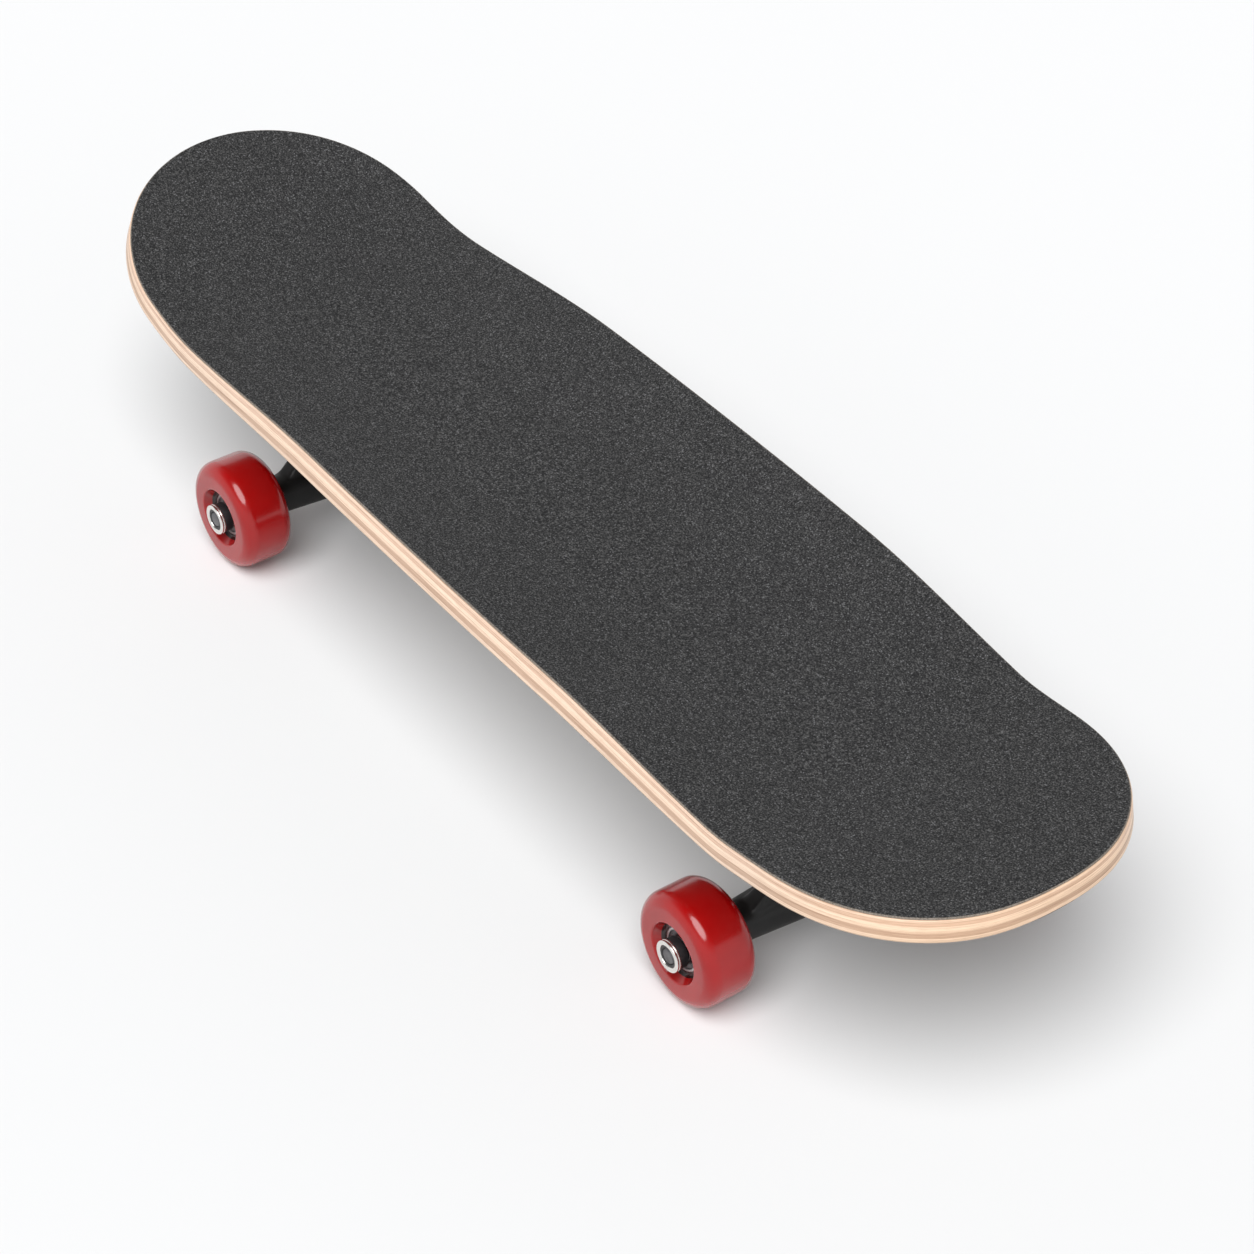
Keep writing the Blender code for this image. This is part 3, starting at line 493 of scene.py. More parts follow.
def add_turned(bm, profile, facets, matrix=None):
    """Turns a closed (radius, height) profile about Z. The profile may be a function of the angle."""
    matrix = matrix or Matrix.Identity(4)
    columns = []
    on_axis = {}
    for index in range(facets):
        angle = 2 * pi * index / facets
        column = []
        for place, (radius, height) in enumerate(profile(angle) if callable(profile) else profile):
            if radius == 0 and place in on_axis:
                column.append(on_axis[place])
                continue
            vertex = bm.verts.new(matrix @ Vector((radius * cos(angle), radius * sin(angle), height)))
            column.append(vertex)
            if radius == 0:
                on_axis[place] = vertex
        columns.append(column)
    for index, column in enumerate(columns):
        after = columns[(index + 1) % facets]
        for place in range(len(column)):
            following = (place + 1) % len(column)
            corners = list(dict.fromkeys([column[place], column[following], after[following], after[place]]))
            if len(corners) > 2:
                bm.faces.new(corners)


def turned(name, profile, facets=ROUND_FACETS, matrix=None):
    bm = bmesh.new()
    add_turned(bm, profile, facets, matrix)
    return finish_mesh(mesh_from(bm, name))


def rod(radius, low, high):
    return [(0, low), (radius, low), (radius, high), (0, high)]


def soft_ring(bore, radius, low, high, rounding):
    """A ring with all four edges rounded."""
    corners = [(bore, low), (radius, low), (radius, high), (bore, high)]
    return rounded([(r, z, rounding) for r, z in corners])


def thread_depth(angle, height, pitch, depth):
    """How far a one-start thread cuts in at this angle and height."""
    turn = height / pitch - angle / (2 * pi)
    return depth * abs(2 * (turn - floor(turn)) - 1)


def threaded_end(radius, low, high, pitch, depth, rows_per_turn=6):
    """Profile points up a threaded stretch of rod, for one angle, fading in at both of its ends."""
    rows = max(1, round((high - low) / pitch * rows_per_turn))

    def points(angle):
        path = []
        for row in range(rows + 1):
            height = low + (high - low) * row / rows
            fade = min(1, (height - low) / pitch, (high - height) / pitch)
            path.append((radius - fade * thread_depth(angle, height, pitch, depth), height))
        return path

    return points


def hexagon_reach(angle, flat):
    """Distance from the middle of a hexagon to its side at this angle."""
    sector = pi / 3
    return flat / 2 / cos((angle + sector / 2) % sector - sector / 2)


def nut_profile(bore, flat, low, high, crown=0.0, insert=0.0):
    """A chamfered hex nut. Its upper end may carry a round crown that holds a locking insert."""
    edge = flat / 2 * CHAMFER_START
    hex_high = high - crown

    def profile(angle):
        reach = hexagon_reach(angle, flat)
        drop = max(reach - edge, 0) * CHAMFER_SLOPE
        lead = bore + 0.0004
        path = [(bore, low + 0.0004), (lead, low), (edge, low), (reach, low + drop)]
        path += [(reach, hex_high - drop), (edge, hex_high)]
        if crown:
            wall = edge - 0.0006
            path += [(wall, hex_high + 0.0002), (wall, high - 0.0006), (wall - 0.0003, high - 0.0001)]
            path += [(insert + 0.0005, high), (insert, high - 0.0003)]
            path += [(insert, high - crown), (bore, high - crown)]
        else:
            path += [(lead, hex_high), (bore, hex_high - 0.0004)]
        return path

    return profile


def hex_head_profile(flat, low, high):
    edge = flat / 2 * CHAMFER_START

    def profile(angle):
        reach = hexagon_reach(angle, flat)
        drop = max(reach - edge, 0) * CHAMFER_SLOPE
        return [(0, low), (reach, low), (reach, high - drop), (edge, high), (0, high)]

    return profile


def add_hull(bm, points):
    added = [bm.verts.new(point) for point in points]
    made = bmesh.ops.convex_hull(bm, input=added)
    unused = [vertex for vertex in added if vertex.is_valid and not vertex.link_faces]
    bmesh.ops.delete(bm, geom=unused, context="VERTS")
    return made


def add_loft(bm, loops):
    rows = [[bm.verts.new(point) for point in loop] for loop in loops]
    for row, after in zip(rows, rows[1:]):
        for index in range(len(row)):
            following = (index + 1) % len(row)
            bm.faces.new((row[index], row[following], after[following], after[index]))
    bm.faces.new(rows[0])
    bm.faces.new(rows[-1])


def solid(fill):
    """A temporary object whose mesh the fill function draws."""
    bm = bmesh.new()
    fill(bm)
    obj = bpy.data.objects.new("solid", mesh_from(bm, "solid"))
    scene.collection.objects.link(obj)
    return obj


def finished(obj, name):
    """The mesh of a temporary object, ready for a piece."""
    mesh = obj.data
    mesh.name = name
    bpy.data.objects.remove(obj)
    return finish_mesh(mesh)


def apply_modifiers(obj):
    """The object's evaluated mesh, once its modifiers are gone."""
    graph = bpy.context.evaluated_depsgraph_get()
    mesh = bpy.data.meshes.new_from_object(obj.evaluated_get(graph))
    obj.modifiers.clear()
    obj.data = mesh
    return obj


def cut_or_join(obj, other, operation):
    modifier = obj.modifiers.new(operation.lower(), "BOOLEAN")
    modifier.operation = operation
    modifier.object = other
    apply_modifiers(obj)
    bpy.data.objects.remove(other)
    return obj


def cast(parts, cutter, name):
    """Joins parts into one casting, softens its edges, then machines the cutter out of it."""
    body = parts[0]
    for part in parts[1:]:
        cut_or_join(body, part, "UNION")
    remesh = body.modifiers.new("remesh", "REMESH")
    remesh.mode = "VOXEL"
    remesh.voxel_size = CASTING_VOXEL
    smooth = body.modifiers.new("smooth", "SMOOTH")
    smooth.factor = 0.5
    smooth.iterations = CASTING_PASSES
    apply_modifiers(body)
    return finished(cut_or_join(body, cutter, "DIFFERENCE"), name)


def disc_points(centre, normal_slope, radius, facets=ROUND_FACETS):
    across = Vector((-sin(normal_slope), 0, cos(normal_slope)))
    angles = [2 * pi * index / facets for index in range(facets)]
    return [centre + radius * (cos(a) * across + sin(a) * Vector((0, 1, 0))) for a in angles]


def rounded_rectangle(half_length, half_width, corner, middle_x, z, corner_steps=8):
    points = []
    for quarter, (x_sign, y_sign) in enumerate(((1, 1), (-1, 1), (-1, -1), (1, -1))):
        centre = Vector((middle_x + x_sign * (half_length - corner), y_sign * (half_width - corner), z))
        for step in range(corner_steps + 1):
            angle = (quarter + step / corner_steps) * pi / 2
            points.append(centre + corner * Vector((cos(angle), sin(angle), 0)))
    return points


# Pieces


def add_piece(name, mesh, body, material, nodes=(), matrix=None):
    """One visible piece, in place, riding on its CAD body and standing for these CAD nodes."""
    if not mesh.materials:
        mesh.materials.append(material)
    obj = bpy.data.objects.new(name, mesh)
    scene.collection.objects.link(obj)
    obj.matrix_world = matrix or Matrix.Identity(4)
    weights = obj.modifiers.new("flat_faces_stay_flat", "WEIGHTED_NORMAL")
    weights.keep_sharp = True
    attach(obj, body)
    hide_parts(*nodes)
    return obj


def placer(prefix, meshes, materials, home):
    """A function that places one mesh of a truck or wheel, whose names all start with the prefix."""

    def piece(name, mesh, body, slot, nodes=(), matrix=home, finish=None):
        nodes = [f"{prefix}_{node}" for node in nodes]
        add_piece(f"{prefix}_{name}", meshes[mesh], body, materials[finish or slot], nodes, matrix)

    return piece


def axle_middle(label):
    low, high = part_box(f"{label}_axle")
    return (low + high) / 2


def truck_matrix(label):
    heading = 0 if label == "front" else pi
    return Matrix.Translation(axle_middle(label)) @ Matrix.Rotation(heading, 4, "Z")


def along(slope):
    """Turns local Z to a direction in the XZ plane, measured from +X towards +Z."""
    return Euler((0, pi / 2 - slope, 0)).to_matrix().to_4x4()


RING_MIDDLE = Matrix.Translation((RING_X, 0, RING_Z))
KINGPIN_AXIS = RING_MIDDLE @ along(pi / 2 - KINGPIN_LEAN)
STEERING_AXIS = RING_MIDDLE @ along(STEERING_SLOPE)


def hub_matrix(label, side):
    middle = axle_middle(label) + Vector((0, side * WHEEL_Y, 0))
    return Matrix.Translation(middle) @ Matrix.Rotation(-side * pi / 2, 4, "X")


# Deck


def deck_profile(s):
    end = NOSE if s >= 0 else TAIL
    start = OUTLINE_LENGTH / 2 - end["kick"]
    run = max(abs(s) - start, 0)
    turn = min(run / end["radius"], end["angle"])
    straight = run - end["radius"] * turn
    x = min(abs(s), start) + end["radius"] * sin(turn) + straight * cos(turn)
    z = end["radius"] * (1 - cos(turn)) + straight * sin(turn)
    return (x if s >= 0 else -x), z


def concave(s, y):
    end = NOSE if s >= 0 else TAIL
    start = OUTLINE_LENGTH / 2 - end["kick"] - CONCAVE_FADE_BEFORE_KICK
    fade = min(max((abs(s) - start) / CONCAVE_FADE_LENGTH, 0), 1)
    fade = fade * fade * (3 - 2 * fade)
    depth = CONCAVE_MIDDLE + (CONCAVE_ENDS - CONCAVE_MIDDLE) * fade
    reach = max(abs(y) - FLAT_HALF_WIDTH, 0) / (OUTLINE_HALF_WIDTH - FLAT_HALF_WIDTH)
    return depth * reach**CONCAVE_POWER


def deck_top(s, y):
    x, z = deck_profile(s)
    return Vector((x + BOARD_SHIFT, y, TOP_Z + z + concave(s, y)))


def deck_point(s, y, depth):
    """A point at this depth under the tape's upper face, straight into the board."""
    length = deck_top(s + SLOPE_STEP, y) - deck_top(s - SLOPE_STEP, y)
    width = deck_top(s, y + SLOPE_STEP) - deck_top(s, y - SLOPE_STEP)
    return deck_top(s, y) - depth * length.cross(width).normalized()


def half_width(s, plain):
    place = s / (OUTLINE_LENGTH / 2)
    return plain * (1 + WIDTH_TAPER * place - WIDTH_BULGE * place**2)


def outline_rows():
    """(s, half width) from the tail's tip to the nose's tip, without the tips themselves."""
    half = OUTLINE_LENGTH / 2
    ends = []
    for end, sign in ((TAIL, -1), (NOSE, 1)):
        curve = []
        for step in range(1, ROUND_STEPS + 1):
            angle = step / (ROUND_STEPS + 1) * pi / 2
            s = sign * (half - end["round"] * (1 - cos(angle) ** (2 / end["power"])))
            curve.append((s, half_width(s, OUTLINE_HALF_WIDTH * sin(angle) ** (2 / end["power"]))))
        ends.append(curve)
    first = TAIL["round"] - half
    last = half - NOSE["round"]
    lengths = [first + (last - first) * step / MIDDLE_STEPS for step in range(MIDDLE_STEPS + 1)]
    return ends[0] + [(s, half_width(s, OUTLINE_HALF_WIDTH)) for s in lengths] + ends[1][::-1]


def board_mesh(name, edge, origin_depth):
    """A closed board. The edge lists (outward offset, depth, rim share) from the upper rim to the lower."""
    rows = outline_rows()
    half = OUTLINE_LENGTH / 2
    right = [(s, -width) for s, width in rows]
    outline = [Vector(point) for point in [(-half, 0)] + right + [(half, 0)] + rows[::-1]]
    count = len(outline)
    lengths = [0.0]
    for index in range(count):
        lengths.append(lengths[-1] + (outline[(index + 1) % count] - outline[index]).length)
    bm = bmesh.new()
    uv = bm.loops.layers.uv.new("board")
    rim = bm.verts.layers.float.new("rim")
    rings = []
    for offset, depth, share in edge:
        loop = []
        for index, point in enumerate(outline):
            tangent = outline[(index + 1) % count] - outline[index - 1]
            outward = Vector((tangent.y, -tangent.x)).normalized()
            place = point + offset * outward
            vertex = bm.verts.new(deck_point(place.x, place.y, depth))
            vertex[rim] = share
            loop.append(vertex)
        rings.append(loop)
    for (loop, above), (below, under) in zip(zip(rings, edge), zip(rings[1:], edge[1:])):
        for index in range(count):
            following = (index + 1) % count
            face = bm.faces.new((loop[index], loop[following], below[following], below[index]))
            ends = (lengths[index], lengths[index + 1], lengths[index + 1], lengths[index])
            depths = (above[1], above[1], under[1], under[1])
            for corner, length, depth in zip(face.loops, ends, depths):
                corner[uv].uv = (length, depth - origin_depth)
    for loop, (offset, depth, _) in ((rings[0], edge[0]), (rings[-1], edge[-1])):
        fill_board_face(bm, uv, loop, rows, offset, depth, depth - origin_depth)
    return finish_mesh(mesh_from(bm, name))


def fill_board_face(bm, uv, loop, rows, offset, depth, shown_depth):
    """Fills one broad face with rows of quads between the two long sides of its rim."""
    count = len(rows)
    lines = []
    for index, (s, width) in enumerate(rows):
        reach = width + offset
        inner = []
        for step in range(1, ACROSS_STEPS):
            share = 2 * step / ACROSS_STEPS - 1
            inner.append(bm.verts.new(deck_point(s, reach * share, depth)))
        lines.append([loop[1 + index]] + inner + [loop[-1 - index]])
    faces = []
    for line, after in zip(lines, lines[1:]):
        for place in range(ACROSS_STEPS):
            faces.append(bm.faces.new((line[place], after[place], after[place + 1], line[place + 1])))
    for tip, line in ((loop[0], lines[0]), (loop[count + 1], lines[-1])):
        for place in range(ACROSS_STEPS):
            faces.append(bm.faces.new((tip, line[place], line[place + 1])))
    for face in faces:
        for corner in face.loops:
            corner[uv].uv = (corner.vert.co.x, shown_depth)


def wood_edge():
    """The upper edge is filed flush with the tape, and the lower edge is rounded over."""
    top = TAPE_THICKNESS + GAP
    bottom = top + DECK_THICKNESS
    angles = [step / EDGE_ARC_STEPS * pi / 2 for step in range(EDGE_ARC_STEPS + 1)]
    upper = [(UPPER_EDGE_RADIUS * sin(a), top + UPPER_EDGE_RADIUS * (1 - cos(a)), 0.0) for a in angles]
    start = UPPER_EDGE_RADIUS - LOWER_EDGE_RADIUS
    size = LOWER_EDGE_RADIUS
    lower = [(start + size * sin(a), bottom - size * (1 - cos(a)), 0.0) for a in angles]
    low, high = upper[-1][1], lower[-1][1]
    middle = []
    for step in range(1, EDGE_BAND_STEPS):
        middle.append((UPPER_EDGE_RADIUS, low + (high - low) * step / EDGE_BAND_STEPS, 0.0))
    return upper + middle + lower[::-1]


def tape_edge():
    """The tape is cut flush and filed, so its upper rim is bevelled."""
    return [
        (TAPE_REACH - 2 * TAPE_BEVEL, 0.0, 0.0),
        (TAPE_REACH - TAPE_BEVEL, 0.0, 0.4),
        (TAPE_REACH - TAPE_BEVEL / 3, TAPE_BEVEL / 3, 1.0),
        (TAPE_REACH, TAPE_BEVEL, 1.0),
        (TAPE_REACH, TAPE_THICKNESS, 1.0),
    ]


def bolt_places():
    lengths = (PLATE_MIDDLE_X - BOLT_HALF_LENGTH, PLATE_MIDDLE_X + BOLT_HALF_LENGTH)
    return [(x, side * BOLT_HALF_WIDTH) for x in lengths for side in (1, -1)]


def make_board(materials):
    deck = board_mesh("deck_plies", wood_edge(), TAPE_THICKNESS + GAP)
    add_piece("deck_plies", deck, "deck", materials["maple"], ["deck"])
    tape = board_mesh("grip_sheet", tape_edge(), 0.0)
    add_piece("grip_sheet", tape, "deck", materials["grip_tape"], ["grip_tape"])


# Trucks


def steering_point(distance):
    return STEERING_AXIS @ Vector((0, 0, distance))


def kingpin_point(distance):
    return KINGPIN_AXIS @ Vector((0, 0, distance))


def bushing_from(side):
    return side * (RING_HALF_THICKNESS - SEAT_DEPTH + GAP)


# Heights above the axle, then places along the kingpin from the ring's middle.
DECK_BOTTOM = TOP_Z - TAPE_THICKNESS - GAP - DECK_THICKNESS - WHEEL_RADIUS
PLATE_TOP = DECK_BOTTOM - 2 * GAP - RISER_THICKNESS
BOARD_WASHER_FROM = bushing_from(1) + BOARD_BUSHING["height"] + GAP
BOSS_SEAT_AT = BOARD_WASHER_FROM + WASHER_THICKNESS + GAP
ROAD_WASHER_FROM = bushing_from(-1) - ROAD_BUSHING["height"] - GAP


def add_bolt_holes(bm, low, high):
    for x, y in bolt_places():
        add_turned(bm, rod(BOLT_RADIUS + GAP, low, high), SMALL_FACETS, Matrix.Translation((x, y, 0)))


def plate_outline(z, inset=0):
    size = [size - inset for size in (PLATE_HALF_LENGTH, PLATE_HALF_WIDTH, PLATE_CORNER)]
    return rounded_rectangle(*size, PLATE_MIDDLE_X, z)


def riser_mesh():
    low = PLATE_TOP + GAP
    high = low + RISER_THICKNESS
    edge = RISER_EDGE
    levels = [(edge, low), (0, low + edge), (0, high - edge), (edge, high)]
    pad = solid(lambda bm: add_loft(bm, [plate_outline(z, inset) for inset, z in levels]))

    holes = solid(lambda bm: add_bolt_holes(bm, low - edge, high + edge))
    return finished(cut_or_join(pad, holes, "DIFFERENCE"), "riser")


def baseplate_mesh():
    top = PLATE_TOP
    inside = top - PLATE_THICKNESS / 2
    foot = kingpin_point((inside - RING_Z) / cos(KINGPIN_LEAN))
    seat = disc_points(kingpin_point(BOSS_SEAT_AT), pi / 2 - KINGPIN_LEAN, BOARD_BUSHING["ends"])
    socket = rounded_rectangle(**PIVOT_TOWER_FOOT, z=inside)
    for distance in (PIVOT_CUP_FROM, PIVOT_TIP_AT + PIVOT_CUP_WALL + PIVOT_TOWER_WALL):
        socket += disc_points(steering_point(distance), STEERING_SLOPE, PIVOT_CUP_RADIUS + PIVOT_TOWER_WALL)
    towers = [seat + rounded_rectangle(**KINGPIN_TOWER_FOOT, middle_x=foot.x, z=inside), socket]
    plate = [plate_outline(top - PLATE_THICKNESS), plate_outline(top)]
    parts = [solid(lambda bm: add_loft(bm, plate))]
    for points in towers:
        parts.append(solid(lambda bm, points=points: add_hull(bm, points)))
    return cast(parts, solid(baseplate_holes), "baseplate")


def baseplate_holes(bm):
    """The bore and head recess for the kingpin, the socket for the pivot cup, and four bolt holes."""
    bore = KINGPIN_RADIUS + GAP
    recess = KINGPIN_HEAD_FLAT / 2 / cos(pi / 6) + GAP
    low = BOSS_SEAT_AT - BOARD_BUSHING["height"] / 2
    shelf = KINGPIN_HEAD_AT - GAP
    high = shelf + 2 * PLATE_THICKNESS + RISER_THICKNESS
    stepped = [(0, low), (bore, low), (bore, shelf), (recess, shelf), (recess, high), (0, high)]
    add_turned(bm, stepped, ROUND_FACETS, KINGPIN_AXIS)
    socket_end = PIVOT_TIP_AT + PIVOT_CUP_WALL + 3 * GAP
    socket = rod(PIVOT_CUP_RADIUS + GAP, PIVOT_CUP_FROM - PIVOT_CUP_RADIUS, socket_end)
    add_turned(bm, socket, ROUND_FACETS, STEERING_AXIS)
    add_bolt_holes(bm, PLATE_TOP - 2 * PLATE_THICKNESS, PLATE_TOP + PLATE_THICKNESS)


def beam_loop(y, half_width, half_height, sides=BEAM_SIDES):
    loop = []
    for index in range(sides):
        angle = 2 * pi * (index + 0.5) / sides
        power = 2 / BEAM_SQUARENESS
        x = half_width * abs(cos(angle)) ** power * (1 if cos(angle) > 0 else -1)
        z = half_height * abs(sin(angle)) ** power * (1 if sin(angle) > 0 else -1)
        loop.append(Vector((x, y, z)))
    return loop


def beam_loops(steps=BEAM_STEPS):
    loops = []
    for step in range(-steps, steps + 1):
        share = abs(step) / steps
        size = {key: middle + (BEAM_END[key] - middle) * share for key, middle in BEAM_MIDDLE.items()}
        loops.append(beam_loop(BEAM_END_Y * step / steps, **size))
    return loops


def yoke_points():
    """The web that carries the ring beside the beam."""
    x, half_width, half_height = YOKE_ROOT
    points = []
    for side in (1, -1):
        points += disc_points(kingpin_point(side * RING_HALF_THICKNESS), pi / 2 - KINGPIN_LEAN, RING_RADIUS)
        points += [Vector((x, width * half_width, side * half_height)) for width in (1, -1)]
    return points


def neck_points():
    """The broad web that rises from both ends of the beam to the pivot."""
    points = disc_points(steering_point(PIVOT_NECK_AT), STEERING_SLOPE, PIVOT_NECK_RADIUS)
    for x, half_width, height in NECK_ROOTS + NECK_SHOULDERS:
        points += [Vector((x, width * half_width, height)) for width in (1, -1)]
    return points


def pivot_profile():
    start = PIVOT_NECK_AT - 3 * GAP
    shoulder = PIVOT_CUP_FROM - PIVOT_TAPER
    neck = PIVOT_NECK_RADIUS - GAP
    corners = [(0, start, 0), (neck, start, 0), (neck, shoulder - PIVOT_TAPER, 0.0010)]
    corners += [(PIVOT_TIP_RADIUS, shoulder, 0.0010), (PIVOT_TIP_RADIUS, PIVOT_TIP_AT, 0.0040)]
    return rounded(corners + [(0, PIVOT_TIP_AT, 0)], 6)


def hanger_holes(bm):
    """The ring's bore with its two bushing seats, and the hole for the axle."""
    seat = RING_HALF_THICKNESS - SEAT_DEPTH
    board = BOARD_BUSHING["middle"] + 2 * GAP
    road = ROAD_BUSHING["middle"] + 2 * GAP
    reach = BOARD_BUSHING["height"]
    stepped = [(0, -reach), (road, -reach), (road, -seat), (RING_BORE, -seat)]
    stepped += [(RING_BORE, seat), (board, seat), (board, reach), (0, reach)]
    add_turned(bm, stepped, ROUND_FACETS, KINGPIN_AXIS)
    hole = rod(AXLE_RADIUS + GAP, -WHEEL_Y, WHEEL_Y)
    add_turned(bm, hole, SMALL_FACETS, Matrix.Rotation(pi / 2, 4, "X"))


def hanger_mesh():
    collar = rounded([
        (0, BEAM_END_Y - COLLAR_RADIUS, 0), (COLLAR_RADIUS, BEAM_END_Y - COLLAR_RADIUS, 0),
        (COLLAR_RADIUS, COLLAR_END_Y, 0.0006), (0, COLLAR_END_Y, 0),
    ])
    parts = [
        solid(lambda bm: add_loft(bm, beam_loops())),
        solid(lambda bm: add_hull(bm, yoke_points())),
        solid(lambda bm: add_hull(bm, neck_points())),
        solid(lambda bm: add_turned(bm, pivot_profile(), ROUND_FACETS, STEERING_AXIS)),
    ]
    for end in (1, -1):
        turn = Matrix.Rotation(end * pi / 2, 4, "X")
        parts.append(solid(lambda bm, turn=turn: add_turned(bm, collar, ROUND_FACETS, turn)))
    return cast(parts, solid(hanger_holes), "hanger")


def pivot_cup_profile():
    inner = PIVOT_TIP_RADIUS + GAP
    shelf = PIVOT_TIP_AT + GAP
    end = shelf + PIVOT_CUP_WALL
    start = PIVOT_CUP_FROM + GAP
    corners = [(0, shelf, 0), (inner, shelf, 0.0012), (inner + GAP, start, SOFT_EDGE)]
    corners += [(PIVOT_CUP_RADIUS, start, SOFT_EDGE), (PIVOT_CUP_RADIUS, end, 0.0008), (0, end, 0)]
    return rounded(corners)


def bushing_profile(bushing, side):
    """A barrel whose ends are rounded and whose waist swells, growing away from the ring."""
    bore = KINGPIN_RADIUS + GAP
    start = bushing_from(side)
    height = bushing["height"] * side
    path = [(bore, start)]
    for step in range(BUSHING_STEPS + 1):
        share = step / BUSHING_STEPS
        swell = sin(pi * share) ** BUSHING_FULLNESS
        edge = BUSHING_EDGE * max(0, 1 - min(share, 1 - share) * BUSHING_STEPS / BUSHING_EDGE_STEPS)
        radius = bushing["ends"] + (bushing["middle"] - bushing["ends"]) * swell - edge
        path.append((radius, start + height * share))
    return path + [(bore, start + height)]


def washer_profile(radius, low):
    """A washer whose outer edges are well rounded."""
    bore = KINGPIN_RADIUS + GAP
    high = low + WASHER_THICKNESS
    outer = [(radius, low, WASHER_EDGE), (radius, high, WASHER_EDGE)]
    return rounded([(bore, low, FINE_EDGE)] + outer + [(bore, high, FINE_EDGE)])


def kingpin_mesh():
    """Shank with a rolled thread at its lower end. The hex head is joined to it."""
    thread_from = KINGPIN_TIP_AT + 0.0006
    thread = threaded_end(KINGPIN_RADIUS, thread_from, thread_from + KINGPIN_THREAD_LENGTH, **KINGPIN_THREAD)

    def profile(angle):
        tip = [(0, KINGPIN_TIP_AT), (KINGPIN_RADIUS - 0.0008, KINGPIN_TIP_AT)]
        return tip + thread(angle) + [(KINGPIN_RADIUS, KINGPIN_HEAD_AT + GAP), (0, KINGPIN_HEAD_AT + GAP)]

    def head(bm):
        top = KINGPIN_HEAD_AT + KINGPIN_HEAD_HEIGHT
        add_turned(bm, hex_head_profile(KINGPIN_HEAD_FLAT, KINGPIN_HEAD_AT, top), KINGPIN_FACETS)

    body = solid(lambda bm: add_turned(bm, profile, SMALL_FACETS))
    return finished(cut_or_join(body, solid(head), "UNION"), "kingpin")


def mounting_bolt_profile():
    high = TOP_Z - TAPE_THICKNESS - 2 * GAP - WHEEL_RADIUS
    nut_top = PLATE_TOP - PLATE_THICKNESS - GAP
    low = nut_top - BOLT_NUT_HEIGHT - BOLT_TIP
    thread = threaded_end(BOLT_RADIUS, low + GAP, nut_top + BOLT_THREAD_PAST_NUT, **BOLT_THREAD)

    def profile(angle):
        tip = [(0, low), (BOLT_RADIUS - 0.0005, low)]
        head = [(BOLT_RADIUS, high - BOLT_HEAD_DEPTH), (BOLT_HEAD_RADIUS, high), (0, high)]
        return tip + thread(angle) + head

    return profile


def make_truck_meshes():
    """Every mesh that both trucks share, in the truck's own frame."""
    nut_top = PLATE_TOP - PLATE_THICKNESS - GAP
    flip = Matrix.Diagonal((1, 1, -1, 1))
    nut_low = nut_top - BOLT_NUT_HEIGHT
    king_top = ROAD_WASHER_FROM - WASHER_THICKNESS - GAP
    king_low = king_top - KINGPIN_NUT_HEIGHT
    bore = KINGPIN_RADIUS + SLIP
    locknut = nut_profile(BOLT_RADIUS + SLIP, BOLT_NUT_FLAT, -nut_top, -nut_low, **BOLT_NUT_CROWN)
    kingnut = nut_profile(bore, KINGPIN_HEAD_FLAT, -king_top, -king_low, **KINGPIN_NUT_CROWN)
    king_insert = soft_ring(bore + SLIP, 0.0055, king_low + 0.0002, king_low + 0.0021, PLAIN_EDGE)
    lock_insert = soft_ring(BOLT_RADIUS + 2 * SLIP, 0.0029, nut_low + 0.0002, nut_low + 0.0014, FINE_EDGE)
    meshes = {
        "riser": riser_mesh(),
        "baseplate": baseplate_mesh(),
        "hanger": hanger_mesh(),
        "kingpin": kingpin_mesh(),
    }
    turnings = {
        "pivot_cup": (pivot_cup_profile(),),
        "kingpin_nut": (kingnut, KINGPIN_FACETS, flip),
        "kingpin_insert": (king_insert,),
        "bolt": (mounting_bolt_profile(), SMALL_FACETS),
        "locknut": (locknut, LOCKNUT_FACETS, flip),
        "lock_insert": (lock_insert, SMALL_FACETS),
        "axle": (axle_profile(), ROUND_FACETS, Matrix.Rotation(pi / 2, 4, "X")),
    }
    for name, bushing, side in (("board_side", BOARD_BUSHING, 1), ("road_side", ROAD_BUSHING, -1)):
        low = BOARD_WASHER_FROM if side > 0 else ROAD_WASHER_FROM - WASHER_THICKNESS
        turnings[f"{name}_bushing"] = (bushing_profile(bushing, side),)
        turnings[f"{name}_washer"] = (washer_profile(bushing["ends"], low),)
    return meshes | {name: turned(name, *turning) for name, turning in turnings.items()}


def axle_profile():
    end, radius, chamfer = AXLE_END_Y, AXLE_RADIUS, AXLE_CHAMFER
    upper = [(radius, end - chamfer, FINE_EDGE), (radius - chamfer, end, FINE_EDGE), (0, end, 0)]
    return rounded([(r, -z, size) for r, z, size in reversed(upper)] + upper, 3)


